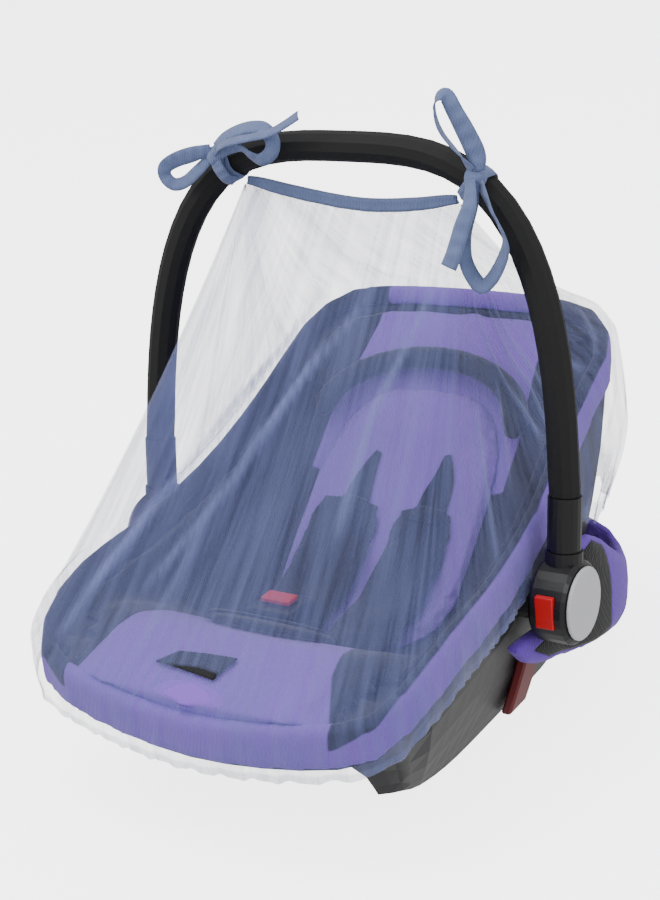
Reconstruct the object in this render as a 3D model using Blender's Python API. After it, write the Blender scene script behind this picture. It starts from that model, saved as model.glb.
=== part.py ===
"""Mesh insect cover tied to the carry handle of an infant car seat.

Metres, +Z up. The foot end of the seat faces -Y and the head end +Y. The model is drawn
about the middle of the handle's hinge axis and set down at the end with its footprint's
centre at the origin.
"""
import math

import bmesh
import bpy
import numpy as np
from mathutils import Vector

# Upper edge of the seat, from the foot end to the head end
RIM = (
    # along, half width, height
    (-0.275, 0.000, -0.018),
    (-0.268, 0.105, -0.010),
    (-0.250, 0.172, 0.004),
    (-0.210, 0.194, 0.024),
    (-0.150, 0.200, 0.041),
    (-0.060, 0.196, 0.050),
    (0.030, 0.189, 0.070),
    (0.105, 0.181, 0.102),
    (0.170, 0.176, 0.136),
    (0.232, 0.172, 0.163),
    (0.275, 0.130, 0.182),
    (0.295, 0.000, 0.183),
)
RIM_STEPS = 50

# Padded band over the rim: offset outwards from the rim line, height above it
BAND_DEPTH = 0.040
BAND_WALL = 0.0055
BAND_WIDTH = 0.018
BAND_INNER_DEPTH = 0.020
LIP_CLEARANCE = 0.0024

# Moulded shell and its two runners
GAP = 0.0004
LIP_WALL = 0.0053
FLOOR_Z = -0.146
BASE_HALF_WIDTH = 0.138
BASE_FRONT = -0.156
BASE_REAR = 0.205
BASE_SQUARENESS = 5.0
BASE_EDGE = 0.005
SHELL_BELLY = 1.5
TOE_BELLY = 0.35
ARCH_HALF_WIDTH = 0.104
ARCH_SQUARENESS = 3.2
ARCH = (
    # along, top
    (-0.50, -0.068),
    (-0.21, -0.070),
    (-0.12, -0.087),
    (0.50, -0.087),
)
BOSS_RADIUS = 0.018
BOSS_INNER = 0.172
BOSS_Z = -0.004

# Padded liner: height of its middle from the foot end to the head end
LINER_THICKNESS = 0.013
LINER_WIDTH = 0.018
SIDE_STEEPNESS = 3.4
PAN = (
    # along, height
    (-0.248, -0.036),
    (-0.236, -0.012),
    (-0.215, 0.004),
    (-0.190, 0.004),
    (-0.160, -0.010),
    (-0.130, -0.030),
    (-0.090, -0.052),
    (-0.040, -0.068),
    (0.000, -0.068),
    (0.040, -0.045),
    (0.090, 0.006),
    (0.140, 0.056),
    (0.190, 0.106),
    (0.230, 0.138),
    (0.267, 0.162),
)

# Carry handle: an arch leaning back from its hinges
HANDLE_HALF_SPAN = 0.2205
HANDLE_RISE = 0.388
HANDLE_SIDE_POWER = 3.31
HANDLE_TOP_POWER = 3.02
HANDLE_LEAN = math.radians(9.0)
BAR_RADIUS = 0.014
LEG_RADIUS = 0.0152
GRIP_START = 0.095
COLLAR_FOOT = 0.010
COLLAR_TOP = 0.046
COLLAR_RADIUS = 0.0170

# Hinge housings at the handle's feet
HUB_RADIUS = 0.038
HUB_INNER = 0.2035
HUB_OUTER = 0.238
CAP_RADIUS = 0.033
CAP_THICKNESS = 0.0035
BUTTON_WIDTH = 0.017
BUTTON_HEIGHT = 0.030
BUTTON_DEPTH = 0.006
BUTTON_PROUD = 0.0015
BUTTON_RISE = 0.005
POCKET_REACH = 0.030

# Net: a sheet that drapes from the ridge under the tape to the rim
NET_STEPS = 76
NET_THICKNESS = 0.0012
NET_CLEARANCE = 0.0044
NET_ROWS = 8
RIDGE_HALF_WIDTH = 0.004
RIDGE = (
    # across, along, height
    (-0.108, 0.056, 0.3455),
    (-0.060, 0.058, 0.3340),
    (0.010, 0.059, 0.3250),
    (0.070, 0.058, 0.3280),
    (0.114, 0.055, 0.3370),
)
NET_SAG = 0.014
SKIRT = (
    # along, drop below the rim, pull inwards at the hem
    (-0.275, 0.047, 0.003),
    (-0.060, 0.046, 0.003),
    (0.030, 0.045, 0.003),
    (0.080, 0.058, 0.004),
    (0.120, 0.092, 0.006),
    (0.180, 0.150, 0.012),
    (0.230, 0.165, 0.020),
    (0.295, 0.175, 0.032),
)
SKIRT_BULGE = 0.006
GATHERS = 24
GATHER_DEPTH = 0.002
TENSION_FOLDS = (
    # share of the way round the rim, rise, breadth
    (0.045, 0.004, 0.012),
    (0.095, 0.005, 0.010),
    (0.150, 0.004, 0.012),
    (0.215, 0.005, 0.010),
    (0.290, 0.004, 0.014),
    (0.420, 0.004, 0.016),
    (0.560, 0.005, 0.016),
    (0.655, 0.006, 0.014),
    (0.745, 0.004, 0.012),
    (0.830, 0.005, 0.012),
    (0.900, 0.004, 0.010),
    (0.960, 0.005, 0.012),
)

# Folded tape along the top of the net and the two ties
TAPE_HEIGHT = 0.012
TAPE_THICKNESS = 0.003
TIE_THICKNESS = 0.0024
TIE_VOXEL = 0.0012
TIE_KEEP = 0.042
WRAP_CLEARANCE = 0.0014
WRAP_WIDTH = 0.011
KNOT_RADII = (0.0105, 0.0090, 0.0110)
TIE_RIGHT_SIDE = (0.143, 0.035, 0.368)
TIE_LEFT_SIDE = (-0.129, 0.036, 0.379)
# Strips of each tie: points along the strip, its width there, and how far it is turned
# away from lying flat to the front, in degrees
TIE_RIGHT_STRIPS = {
    "upper_loop": (
        # across, along, height, width, turn
        (0.141, 0.034, 0.373, 0.007, 20),
        (0.130, 0.033, 0.387, 0.011, 65),
        (0.117, 0.031, 0.404, 0.011, 72),
        (0.112, 0.030, 0.419, 0.011, 68),
        (0.113, 0.031, 0.433, 0.011, 60),
        (0.121, 0.034, 0.436, 0.011, 40),
        (0.129, 0.034, 0.422, 0.012, 15),
        (0.139, 0.034, 0.403, 0.015, 0),
        (0.146, 0.034, 0.387, 0.015, 0),
        (0.148, 0.034, 0.373, 0.009, 0),
    ),
    "lower_loop": (
        (0.144, 0.031, 0.363, 0.007, 20),
        (0.142, 0.025, 0.343, 0.011, 50),
        (0.136, 0.022, 0.320, 0.011, 55),
        (0.136, 0.021, 0.298, 0.011, 60),
        (0.143, 0.021, 0.282, 0.011, 45),
        (0.151, 0.021, 0.276, 0.011, 30),
        (0.163, 0.021, 0.287, 0.011, 25),
        (0.174, 0.021, 0.308, 0.011, 35),
        (0.173, 0.022, 0.322, 0.011, 50),
        (0.162, 0.025, 0.341, 0.011, 50),
        (0.148, 0.033, 0.363, 0.008, 20),
    ),
    "tail": (
        (0.141, 0.030, 0.366, 0.008, 0),
        (0.1445, 0.019, 0.347, 0.011, 0),
        (0.1395, 0.012, 0.329, 0.012, 0),
        (0.134, 0.005, 0.308, 0.012, 0),
        (0.130, 0.001, 0.297, 0.012, 0),
    ),
    "front_strand": (
        (0.140, 0.034, 0.362, 0.010, 0),
        (0.133, 0.036, 0.355, 0.010, 0),
        (0.1265, 0.040, 0.3480, 0.010, 0),
        (0.1220, 0.0495, 0.3440, 0.009, 0),
    ),
}
TIE_LEFT_STRIPS = {
    "left_loop": (
        (-0.131, 0.037, 0.382, 0.008, 0),
        (-0.149, 0.031, 0.378, 0.012, 10),
        (-0.166, 0.028, 0.373, 0.012, 20),
        (-0.178, 0.026, 0.366, 0.011, 30),
        (-0.179, 0.026, 0.357, 0.010, 40),
        (-0.171, 0.027, 0.350, 0.010, 30),
        (-0.160, 0.030, 0.352, 0.010, 20),
        (-0.148, 0.033, 0.361, 0.010, 20),
        (-0.135, 0.036, 0.372, 0.008, 10),
    ),
    "right_loop": (
        (-0.124, 0.035, 0.384, 0.008, 20),
        (-0.112, 0.033, 0.393, 0.011, 35),
        (-0.096, 0.032, 0.401, 0.011, 45),
        (-0.080, 0.032, 0.405, 0.011, 50),
        (-0.066, 0.032, 0.404, 0.011, 50),
        (-0.057, 0.031, 0.393, 0.011, 25),
        (-0.060, 0.030, 0.382, 0.011, 10),
        (-0.071, 0.029, 0.376, 0.010, 20),
        (-0.082, 0.029, 0.380, 0.010, 35),
        (-0.092, 0.030, 0.386, 0.010, 40),
        (-0.106, 0.031, 0.385, 0.010, 30),
        (-0.122, 0.034, 0.378, 0.008, 10),
    ),
    "tail": (
        (-0.126, 0.036, 0.380, 0.007, 40),
        (-0.107, 0.025, 0.390, 0.007, 50),
        (-0.080, 0.024, 0.397, 0.008, 50),
        (-0.058, 0.026, 0.401, 0.008, 50),
        (-0.042, 0.028, 0.408, 0.008, 45),
        (-0.026, 0.030, 0.417, 0.008, 40),
    ),
    "front_strand": (
        (-0.127, 0.036, 0.374, 0.010, 0),
        (-0.122, 0.033, 0.366, 0.010, 0),
        (-0.118, 0.038, 0.355, 0.010, 0),
        (-0.1145, 0.047, 0.3500, 0.009, 0),
    ),
}

# Pads and harness lying in the seat
PAD_EDGE = 0.35
PAD_CLEARANCE = 0.0024
INSERT_CLEARANCE = 0.004
INSERT = {"along": 0.070, "half_width": 0.104, "half_length": 0.118, "thickness": 0.014}
HEAD_ROLL_SPAN = 0.108
HEAD_ROLL_ALONG = 0.140
HEAD_ROLL_RISE = 0.058
HEAD_ROLL_RADIUS = 0.015
HEAD_ROLL_FLATNESS = 0.8
HEAD_ROLL_CLEARANCE = 0.002
HEAD_ROLL_TURN = math.radians(190.8)
HEAD_ROLL_STEPS = 17
# The liner's height is also read this much further out, so that the roll clears its walls
HEAD_ROLL_SPREAD = 1.1
HEAD_ROLL_SHIFT = 0.012
HARNESS_PAD = {"half_width": 0.036, "half_length": 0.088, "thickness": 0.013}
HARNESS_PAD_OFFSET = 0.0395
HARNESS_PAD_ALONG = -0.002
CROTCH_STRAP_SIZE = (0.030, 0.004)
BUCKLE_SIZE = (0.048, 0.040, 0.022)
BUCKLE_PLACE = (0.0, -0.118, 0.004)
PRESS_SIZE = (0.030, 0.016, 0.005)
CROTCH_PAD_SQUARENESS = 2.6
CROTCH_PAD_CLEARANCE = 0.003
CROTCH_PAD = {"along": -0.150, "half_width": 0.066, "half_length": 0.026, "thickness": 0.012}

# Sun canopy folded back round the head end
CANOPY_THICKNESS = 0.018
CANOPY = (
    # across, along, lower edge, upper edge
    (0.193, -0.056, -0.034, -0.027),
    (0.193, -0.035, -0.056, -0.026),
    (0.193, 0.000, -0.072, -0.026),
    (0.193, 0.024, -0.080, -0.026),
    (0.194, 0.036, -0.084, 0.004),
    (0.198, 0.060, -0.092, 0.022),
    (0.200, 0.100, -0.102, 0.024),
    (0.198, 0.145, -0.108, -0.006),
    (0.186, 0.195, -0.108, -0.040),
    (0.150, 0.240, -0.108, -0.040),
    (0.080, 0.266, -0.106, -0.034),
    (0.000, 0.272, -0.104, -0.032),
)

# Hooks for the car's belt on the shell's sides
GUIDE_START = 0.010
GUIDE_LENGTH = 0.034
GUIDE_LOW = -0.138
GUIDE_HIGH = -0.072
GUIDE_PROUD = 0.010
GUIDE_CLEARANCE = 0.0026

PURPLE = (0.215, 0.118, 0.527)
GREY_FABRIC = (0.035, 0.038, 0.055)
BLACK_FOAM = (0.012, 0.012, 0.014)
GREY_PLASTIC = (0.055, 0.058, 0.066)
DARK_PLASTIC = (0.020, 0.021, 0.024)
PALE_PLASTIC = (0.578, 0.584, 0.610)
RED_PLASTIC = (0.680, 0.016, 0.020)
DARK_RED_PLASTIC = (0.155, 0.010, 0.014)
TAPE_BLUE = (0.270, 0.360, 0.610)
NET_LILAC = (0.610, 0.650, 0.840)


def make_material(name, colour, roughness, metallic=0.0):
    """A plain finish for one kind of piece."""
    made = bpy.data.materials.new(name)
    made.use_nodes = True
    shader = made.node_tree.nodes["Principled BSDF"]
    shader.inputs["Base Color"].default_value = (*colour, 1.0)
    shader.inputs["Roughness"].default_value = roughness
    shader.inputs["Metallic"].default_value = metallic
    return made


def make_object(name, points, faces, material, sharp=40.0, closed=True):
    """A named object from points and faces, shaded smooth but for its sharp edges."""
    mesh = bpy.data.meshes.new(name)
    mesh.from_pydata([tuple(map(float, point)) for point in points], [], faces)
    shape = bmesh.new()
    shape.from_mesh(mesh)
    if closed:
        bmesh.ops.recalc_face_normals(shape, faces=shape.faces)
    shape.to_mesh(mesh)
    shape.free()
    mesh.shade_smooth()
    mesh.set_sharp_from_angle(angle=math.radians(sharp))
    made = bpy.data.objects.new(name, mesh)
    bpy.context.scene.collection.objects.link(made)
    made.data.materials.append(material)
    return made


def make_cutter(name, points, faces):
    """A hidden solid that only shapes another one."""
    made = make_object(name, points, faces, finish["grey_plastic"])
    made.hide_render = True
    made.display_type = "WIRE"
    return made


def combine(target, tool, operation):
    """Adds or takes away a hidden solid."""
    step = target.modifiers.new(operation.lower(), "BOOLEAN")
    step.operation = operation
    step.object = tool


def smooth_curve(points, count, closed=False):
    """Evenly spaced points along a smooth curve through the given ones."""
    rows = np.array(points, float)
    if closed:
        padded = np.vstack([rows[-1:], rows, rows[:2]])
    else:
        padded = np.vstack([2 * rows[0] - rows[1], rows, 2 * rows[-1] - rows[-2]])
    steps = np.linspace(0.0, 1.0, 24, endpoint=False)[:, None]
    dense = []
    for before, start, end, after in zip(padded, padded[1:], padded[2:], padded[3:]):
        tangent_in = (end - before) / 2
        tangent_out = (after - start) / 2
        cubic = 2 * start - 2 * end + tangent_in + tangent_out
        square = 3 * end - 3 * start - 2 * tangent_in - tangent_out
        dense.append(start + steps * tangent_in + steps ** 2 * square + steps ** 3 * cubic)
    dense.append(rows[:1] if closed else rows[-1:])
    dense = np.vstack(dense)
    lengths = np.linalg.norm(np.diff(dense[:, :3], axis=0), axis=1)
    travelled = np.concatenate([[0.0], np.cumsum(lengths)])
    wanted = np.linspace(0.0, travelled[-1], count + 1 if closed else count)
    if closed:
        wanted = wanted[:-1]
    return np.stack([np.interp(wanted, travelled, dense[:, k]) for k in range(rows.shape[1])], 1)


def rim_line(count):
    """The rim as a closed line from the foot end along +X to the head end and back."""
    near = [(width, along, height) for along, width, height in RIM]
    far = [(-x, y, z) for x, y, z in near[1:-1]]
    line = smooth_curve(near + far[::-1], count, closed=True)
    # both sides are made exactly alike
    mirrored = np.roll(line[::-1], 1, axis=0) * (-1, 1, 1)
    return (line + mirrored) / 2


def outward(line):
    """Level directions that point away from the seat at each point of the rim."""
    run = np.roll(line, -1, axis=0) - np.roll(line, 1, axis=0)
    side = np.stack([run[:, 1], -run[:, 0], np.zeros(len(run))], 1)
    return side / np.linalg.norm(side, axis=1)[:, None]


def strip_cap(first, count, flipped):
    """Faces that close a ring by joining its two mirrored halves."""
    faces = [(first, first + 1, first + count - 1)]
    for j in range(1, count // 2 - 1):
        faces.append((first + j, first + j + 1, first + count - j - 1, first + count - j))
    middle = count // 2
    faces.append((first + middle - 1, first + middle, first + middle + 1))
    return [face[::-1] for face in faces] if flipped else faces


def loft(rings, cap_start=True, cap_end=True, ring_round=False):
    """Faces through rings of points, closed at its ends or joined into a ring."""
    count = len(rings[0])
    faces = []
    for k in range(len(rings) if ring_round else len(rings) - 1):
        low = k * count
        high = ((k + 1) % len(rings)) * count
        for j in range(count):
            after = (j + 1) % count
            faces.append((low + j, low + after, high + after, high + j))
    if cap_start:
        faces += strip_cap(0, count, True)
    if cap_end:
        faces += strip_cap((len(rings) - 1) * count, count, False)
    return np.vstack(rings), faces


def swept(path, sections, widths, sides):
    """A solid with a cross-section carried along a path and flat ends."""
    points = []
    for place, section, width, side in zip(path, sections, widths, sides):
        points += [place + width * a + side * b for a, b in section]
    count = len(sections[0])
    faces = []
    for k in range(len(path) - 1):
        for j in range(count):
            after = (j + 1) % count
            low, high = k * count, (k + 1) * count
            faces.append((low + j, low + after, high + after, high + j))
    faces.append(tuple(range(count))[::-1])
    faces.append(tuple(range((len(path) - 1) * count, len(path) * count)))
    return points, faces


def round_section(width, height, sides, power=2.0):
    """A closed superellipse section."""
    turns = np.arange(sides) * 2 * math.pi / sides
    across = np.sign(np.cos(turns)) * np.abs(np.cos(turns)) ** (2 / power) * width
    up = np.sign(np.sin(turns)) * np.abs(np.sin(turns)) ** (2 / power) * height
    return np.stack([across, up], 1)


def tangents(path):
    """Unit directions along a path."""
    run = np.gradient(np.asarray(path, float), axis=0)
    return run / np.linalg.norm(run, axis=1)[:, None]


def box(centre, size):
    """Points and faces of a block."""
    corners = [(x, y, z) for x in (-0.5, 0.5) for y in (-0.5, 0.5) for z in (-0.5, 0.5)]
    points = [[c + s * k for c, s, k in zip(centre, size, corner)] for corner in corners]
    faces = [(0, 1, 3, 2), (4, 6, 7, 5), (0, 4, 5, 1), (2, 3, 7, 6), (0, 2, 6, 4), (1, 5, 7, 3)]
    return points, faces


def bevel(target, width, segments=2):
    """Rounds the edges of a solid."""
    step = target.modifiers.new("edges", "BEVEL")
    step.width = width
    step.segments = segments
    step.limit_method = "ANGLE"
    step.angle_limit = math.radians(40)


def cylinder(start, end, radius, sides=24):
    """Points and faces of a round bar between two points."""
    start, end = np.array(start, float), np.array(end, float)
    along = (end - start) / np.linalg.norm(end - start)
    helper = np.array([0.0, 1.0, 0.0]) if abs(along[1]) < 0.9 else np.array([1.0, 0.0, 0.0])
    side = np.cross(helper, along)
    side /= np.linalg.norm(side)
    section = round_section(radius, radius, sides)
    up = np.cross(along, side)
    return swept([start, end], [section] * 2, [side] * 2, [up] * 2)


def handle_point(share):
    """A point of the handle's centre line, for a share from one foot (0) to the other (1)."""
    turn = math.pi * (1 - share)
    across = math.copysign(abs(math.cos(turn)) ** (2 / HANDLE_SIDE_POWER), math.cos(turn))
    up = max(math.sin(turn), 0.0) ** (2 / HANDLE_TOP_POWER)
    x, rise = across * HANDLE_HALF_SPAN, up * HANDLE_RISE
    return np.array([x, rise * math.sin(HANDLE_LEAN), rise * math.cos(HANDLE_LEAN)])


def leg_point(side, rise):
    """A point of a handle leg at a distance up from the hinge axis."""
    return (side * HANDLE_HALF_SPAN, rise * math.sin(HANDLE_LEAN), rise * math.cos(HANDLE_LEAN))


def floor_height(across, along, deeper=0.0):
    """Height of the liner's upper face, or of a face a given depth under it."""
    width = np.interp(along, rim_along, rim_width)
    edge = np.interp(along, rim_along, rim_height) - BAND_INNER_DEPTH
    middle = np.interp(along, pan_along, pan_height) - deeper
    share = np.clip(np.abs(across) / np.maximum(width, 0.02), 0.0, 1.0)
    return middle + (np.maximum(edge, middle) - middle) * share ** SIDE_STEEPNESS


def basin(inset, deeper, shares):
    """Rings of a bowl-shaped face from the rim inwards to the seat's middle line."""
    edge = rim + rim_out * -inset
    spine = np.stack([edge[:, 0] * 0, np.clip(edge[:, 1], -0.19, 0.20), edge[:, 2]], 1)
    rings = []
    for share in shares:
        ring = spine + (edge - spine) * share
        ring[:, 2] = floor_height(ring[:, 0], ring[:, 1], deeper)
        under_band = rim[:, 2] - BAND_INNER_DEPTH - LIP_CLEARANCE
        if share > 0.7:
            ring[:, 2] = np.minimum(ring[:, 2], under_band)
        if share == 1.0:
            ring[:, 2] = under_band
        rings.append(ring)
    return rings


def pad_top(share, thickness):
    """Thickness of a domed pad at a share of the way from its middle to its edge."""
    return thickness * (PAD_EDGE + (1 - PAD_EDGE) * np.clip(1.0 - share ** 6, 0.0, 1.0) ** 0.5)


def pad(name, along, half_width, half_length, thickness, base, material, across=0.0, power=3.0, sides=24,
        clear=0.0006):
    """A domed pad that lies on the face given by base."""
    outline = round_section(half_length, half_width, sides, power)
    shares = (0.08, 0.25, 0.45, 0.65, 0.82, 0.94, 1.0)
    under, upper = [], []
    for share in shares:
        x = across + outline[:, 1] * share
        y = along + outline[:, 0] * share
        z = base(x, y) + clear
        under.append(np.stack([x, y, z], 1))
        upper.append(np.stack([x, y, z + pad_top(share, thickness)], 1))
    points, faces = loft(under + upper[::-1])
    return make_object(name, points, faces, material)


def insert_top(across, along):
    """Height of the infant insert's upper face, or of the liner beside it."""
    share = (np.abs(across) / INSERT["half_width"]) ** 3
    share = (share + (np.abs(along - INSERT["along"]) / INSERT["half_length"]) ** 3) ** (1 / 3)
    beside = np.clip(1.0 - (share - 1.0) / 0.25, 0.0, 1.0)
    lift = np.where(share < 1.0, pad_top(np.minimum(share, 1.0), INSERT["thickness"]),
                    PAD_EDGE * INSERT["thickness"] * beside)
    return floor_height(across, along) + INSERT_CLEARANCE + lift + PAD_CLEARANCE


def build_rim_band():
    """Padded fabric band that hooks over the shell's lip all the way round."""
    section = (
        (0.0, -BAND_DEPTH),
        (0.0, -0.012),
        (-0.0030, -0.0035),
        (-0.0090, 0.0),
        (-0.0150, -0.0030),
        (-BAND_WIDTH, -0.0110),
        (-BAND_WIDTH, -BAND_INNER_DEPTH),
        (-BAND_WALL, -BAND_INNER_DEPTH),
        (-BAND_WALL, -BAND_DEPTH),
    )
    rings = []
    for place, out in zip(rim, rim_out):
        rings.append([place + out * e + np.array([0, 0, h]) for e, h in section])
    points, faces = loft([np.array(ring) for ring in rings], False, False, True)
    make_object("rim_band", points, faces, finish["purple_fabric"])


def build_shell():
    """Moulded bucket whose side walls run down into two runners."""
    lip_outer = rim + rim_out * -(BAND_WALL + GAP)
    lip_outer[:, 2] = rim[:, 2] - BAND_INNER_DEPTH - LIP_CLEARANCE
    middle = (BASE_FRONT + BASE_REAR) / 2
    half_length = (BASE_REAR - BASE_FRONT) / 2
    turns = np.arctan2((lip_outer[:, 1] - 0.01) / 0.28, lip_outer[:, 0] / 0.185)
    power = 2 / BASE_SQUARENESS
    foot = np.zeros_like(lip_outer)
    foot[:, 0] = np.sign(np.cos(turns)) * np.abs(np.cos(turns)) ** power * BASE_HALF_WIDTH
    foot[:, 1] = middle + np.sign(np.sin(turns)) * np.abs(np.sin(turns)) ** power * half_length
    foot[:, 2] = FLOOR_Z
    rings = []
    centre = np.array([0.0, middle, FLOOR_Z])
    for share in (0.3, 0.7):
        rings.append(centre + (foot - centre) * share)
    sole = centre + (foot - centre) * (1 - BASE_EDGE / BASE_HALF_WIDTH)
    rings.append(sole)
    under_band = rim + rim_out * -(BAND_WALL + 2 * GAP)
    under_band[:, 2] = rim[:, 2] - BAND_DEPTH - 0.002
    # the wall falls back at once under the foot end and stays full along the sides
    frontness = np.clip(-rim_out[:, 1] * 1.4 - 0.2, 0.0, 1.0)[:, None]
    belly = SHELL_BELLY + (TOE_BELLY - SHELL_BELLY) * frontness
    for fall in (0.96, 0.84, 0.64, 0.44, 0.22, 0.06, 0.0):
        ring = under_band + (foot - under_band) * fall ** belly
        ring[:, 2] = under_band[:, 2] + (FLOOR_Z - under_band[:, 2]) * fall
        rings.append(ring)
    rings.append(lip_outer)
    depth = LINER_THICKNESS + GAP
    rings += basin(BAND_WALL + GAP + LIP_WALL, depth, (1.0, 0.96, 0.87, 0.7, 0.45, 0.08))
    points, faces = loft(rings)
    shell = make_object("seat_shell", points, faces, finish["grey_plastic"])
    arch = []
    for along, top in ARCH:
        section = round_section(ARCH_HALF_WIDTH, top - FLOOR_Z, 24, ARCH_SQUARENESS)
        arch.append(np.array([(a, along, FLOOR_Z + b) for a, b in section]))
    count = len(arch[0])
    points, faces = loft(arch, False, False)
    faces = list(faces) + [tuple(range(count))[::-1]]
    faces.append(tuple(range((len(arch) - 1) * count, len(arch) * count)))
    combine(shell, make_cutter("arch_cutter", points, faces), "DIFFERENCE")
    for name, side in (("left", -1), ("right", 1)):
        start = (side * BOSS_INNER, 0, BOSS_Z)
        end = (side * (HUB_INNER - GAP), 0, BOSS_Z)
        boss = make_cutter("boss_" + name, *cylinder(start, end, BOSS_RADIUS, 20))
        combine(shell, boss, "UNION")


def build_liner():
    """Padded lining of the bucket."""
    edge = BAND_WALL + GAP + LIP_WALL + GAP
    under = basin(edge, LINER_THICKNESS, (0.08, 0.45, 0.7, 0.87, 0.96, 1.0))
    upper = basin(edge + LINER_WIDTH, 0.0, (1.0, 0.94, 0.85, 0.74, 0.62, 0.48, 0.3, 0.08))
    points, faces = loft(under + upper)
    make_object("seat_liner", points, faces, finish["grey_fabric"])


def build_seat_pads():
    """Insert, head roll, harness and buckle lying in the liner."""
    pad("infant_insert", base=floor_height, material=finish["purple_fabric"],
        clear=INSERT_CLEARANCE, **INSERT)
    turns = np.linspace(-0.5, 0.5, HEAD_ROLL_STEPS) * HEAD_ROLL_TURN
    path = []
    for turn in turns:
        x = HEAD_ROLL_SPAN * math.sin(turn)
        y = HEAD_ROLL_ALONG + HEAD_ROLL_RISE * math.cos(turn)
        beside = (x * HEAD_ROLL_SPREAD, y + HEAD_ROLL_SHIFT)
        z = max(float(insert_top(x, y)), float(floor_height(*beside)))
        path.append((x, y, z + HEAD_ROLL_RADIUS * HEAD_ROLL_FLATNESS + HEAD_ROLL_CLEARANCE))
    path = np.array(path)
    run = tangents(path)
    widths = np.cross(run, (0, 0, 1))
    widths /= np.linalg.norm(widths, axis=1)[:, None]
    ups = np.cross(widths, run)
    section = round_section(HEAD_ROLL_RADIUS, HEAD_ROLL_RADIUS * HEAD_ROLL_FLATNESS, 10)
    ends = [0.5] + [1.0] * (len(path) - 2) + [0.5]
    points, faces = swept(path, [section * end for end in ends], widths, ups)
    make_object("head_roll", points, faces, finish["grey_fabric"])
    for name, side in (("left", -1), ("right", 1)):
        pad("harness_pad_" + name, HARNESS_PAD_ALONG, base=insert_top, across=side * HARNESS_PAD_OFFSET,
            material=finish["grey_fabric"], sides=16, **HARNESS_PAD)
    pad("crotch_pad", base=floor_height, material=finish["grey_fabric"],
        power=CROTCH_PAD_SQUARENESS, clear=CROTCH_PAD_CLEARANCE, **CROTCH_PAD)


def build_handle():
    """Foam-covered carry handle on two bare legs."""
    dense = np.array([handle_point(k / 800) for k in range(801)])
    up = dense[:, 2] / math.cos(HANDLE_LEAN)
    arch = dense[up > GRIP_START + 0.008][::12]
    ends = [leg_point(side, GRIP_START + GAP) for side in (-1, 1)]
    path = smooth_curve(np.vstack([ends[0], arch, ends[1]]), 41)
    run = tangents(path)
    run[0] = (0.0, math.sin(HANDLE_LEAN), math.cos(HANDLE_LEAN))
    run[-1] = -run[0]
    across = np.cross(run, (0.0, math.cos(HANDLE_LEAN), -math.sin(HANDLE_LEAN)))
    across /= np.linalg.norm(across, axis=1)[:, None]
    section = round_section(BAR_RADIUS, BAR_RADIUS, 10)
    points, faces = swept(path, [section] * len(path), across, np.cross(across, run))
    make_object("handle_bar", points, faces, finish["black_foam"], 60)
    for name, side in (("left", -1), ("right", 1)):
        low, high = leg_point(side, COLLAR_TOP + GAP), leg_point(side, GRIP_START)
        make_object("handle_leg_" + name, *cylinder(low, high, LEG_RADIUS, 20), finish["dark_plastic"])


def build_hubs():
    """Hinge housings with a collar, a pale cap and a press button each."""
    for name, side in (("left", -1), ("right", 1)):
        drum = cylinder((side * HUB_INNER, 0, 0), (side * HUB_OUTER, 0, 0), HUB_RADIUS, 28)
        housing = make_object("hub_" + name, *drum, finish["dark_plastic"])
        bevel(housing, 0.003, 1)
        sleeve = cylinder(leg_point(side, COLLAR_FOOT), leg_point(side, COLLAR_TOP), COLLAR_RADIUS, 20)
        combine(housing, make_cutter("collar_" + name, *sleeve), "UNION")
        middle = side * (HUB_INNER + HUB_OUTER) / 2
        front = -HUB_RADIUS - BUTTON_PROUD + BUTTON_DEPTH
        pocket_size = (BUTTON_WIDTH + 2 * GAP, POCKET_REACH, BUTTON_HEIGHT + 2 * GAP)
        pocket_place = (middle, front + GAP - POCKET_REACH / 2, BUTTON_RISE)
        combine(housing, make_cutter("pocket_" + name, *box(pocket_place, pocket_size)), "DIFFERENCE")
        button_size = (BUTTON_WIDTH, BUTTON_DEPTH, BUTTON_HEIGHT)
        block = box((middle, front - BUTTON_DEPTH / 2, BUTTON_RISE), button_size)
        button = make_object("release_button_" + name, *block, finish["red_plastic"])
        bevel(button, 0.001)
        start = side * (HUB_OUTER + GAP)
        disc = cylinder((start, 0, 0), (start + side * CAP_THICKNESS, 0, 0), CAP_RADIUS, 28)
        cap = make_object("hub_cap_" + name, *disc, finish["pale_plastic"])
        bevel(cap, 0.001, 1)


def ridge_point(across):
    """The ridge under the tape at a place across the seat."""
    rows = np.array(RIDGE)
    line = smooth_curve(rows, 60)
    x = np.clip(across, rows[0, 0], rows[-1, 0])
    return np.stack([x, np.interp(x, line[:, 0], line[:, 1]), np.interp(x, line[:, 0], line[:, 2])], -1)


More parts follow.
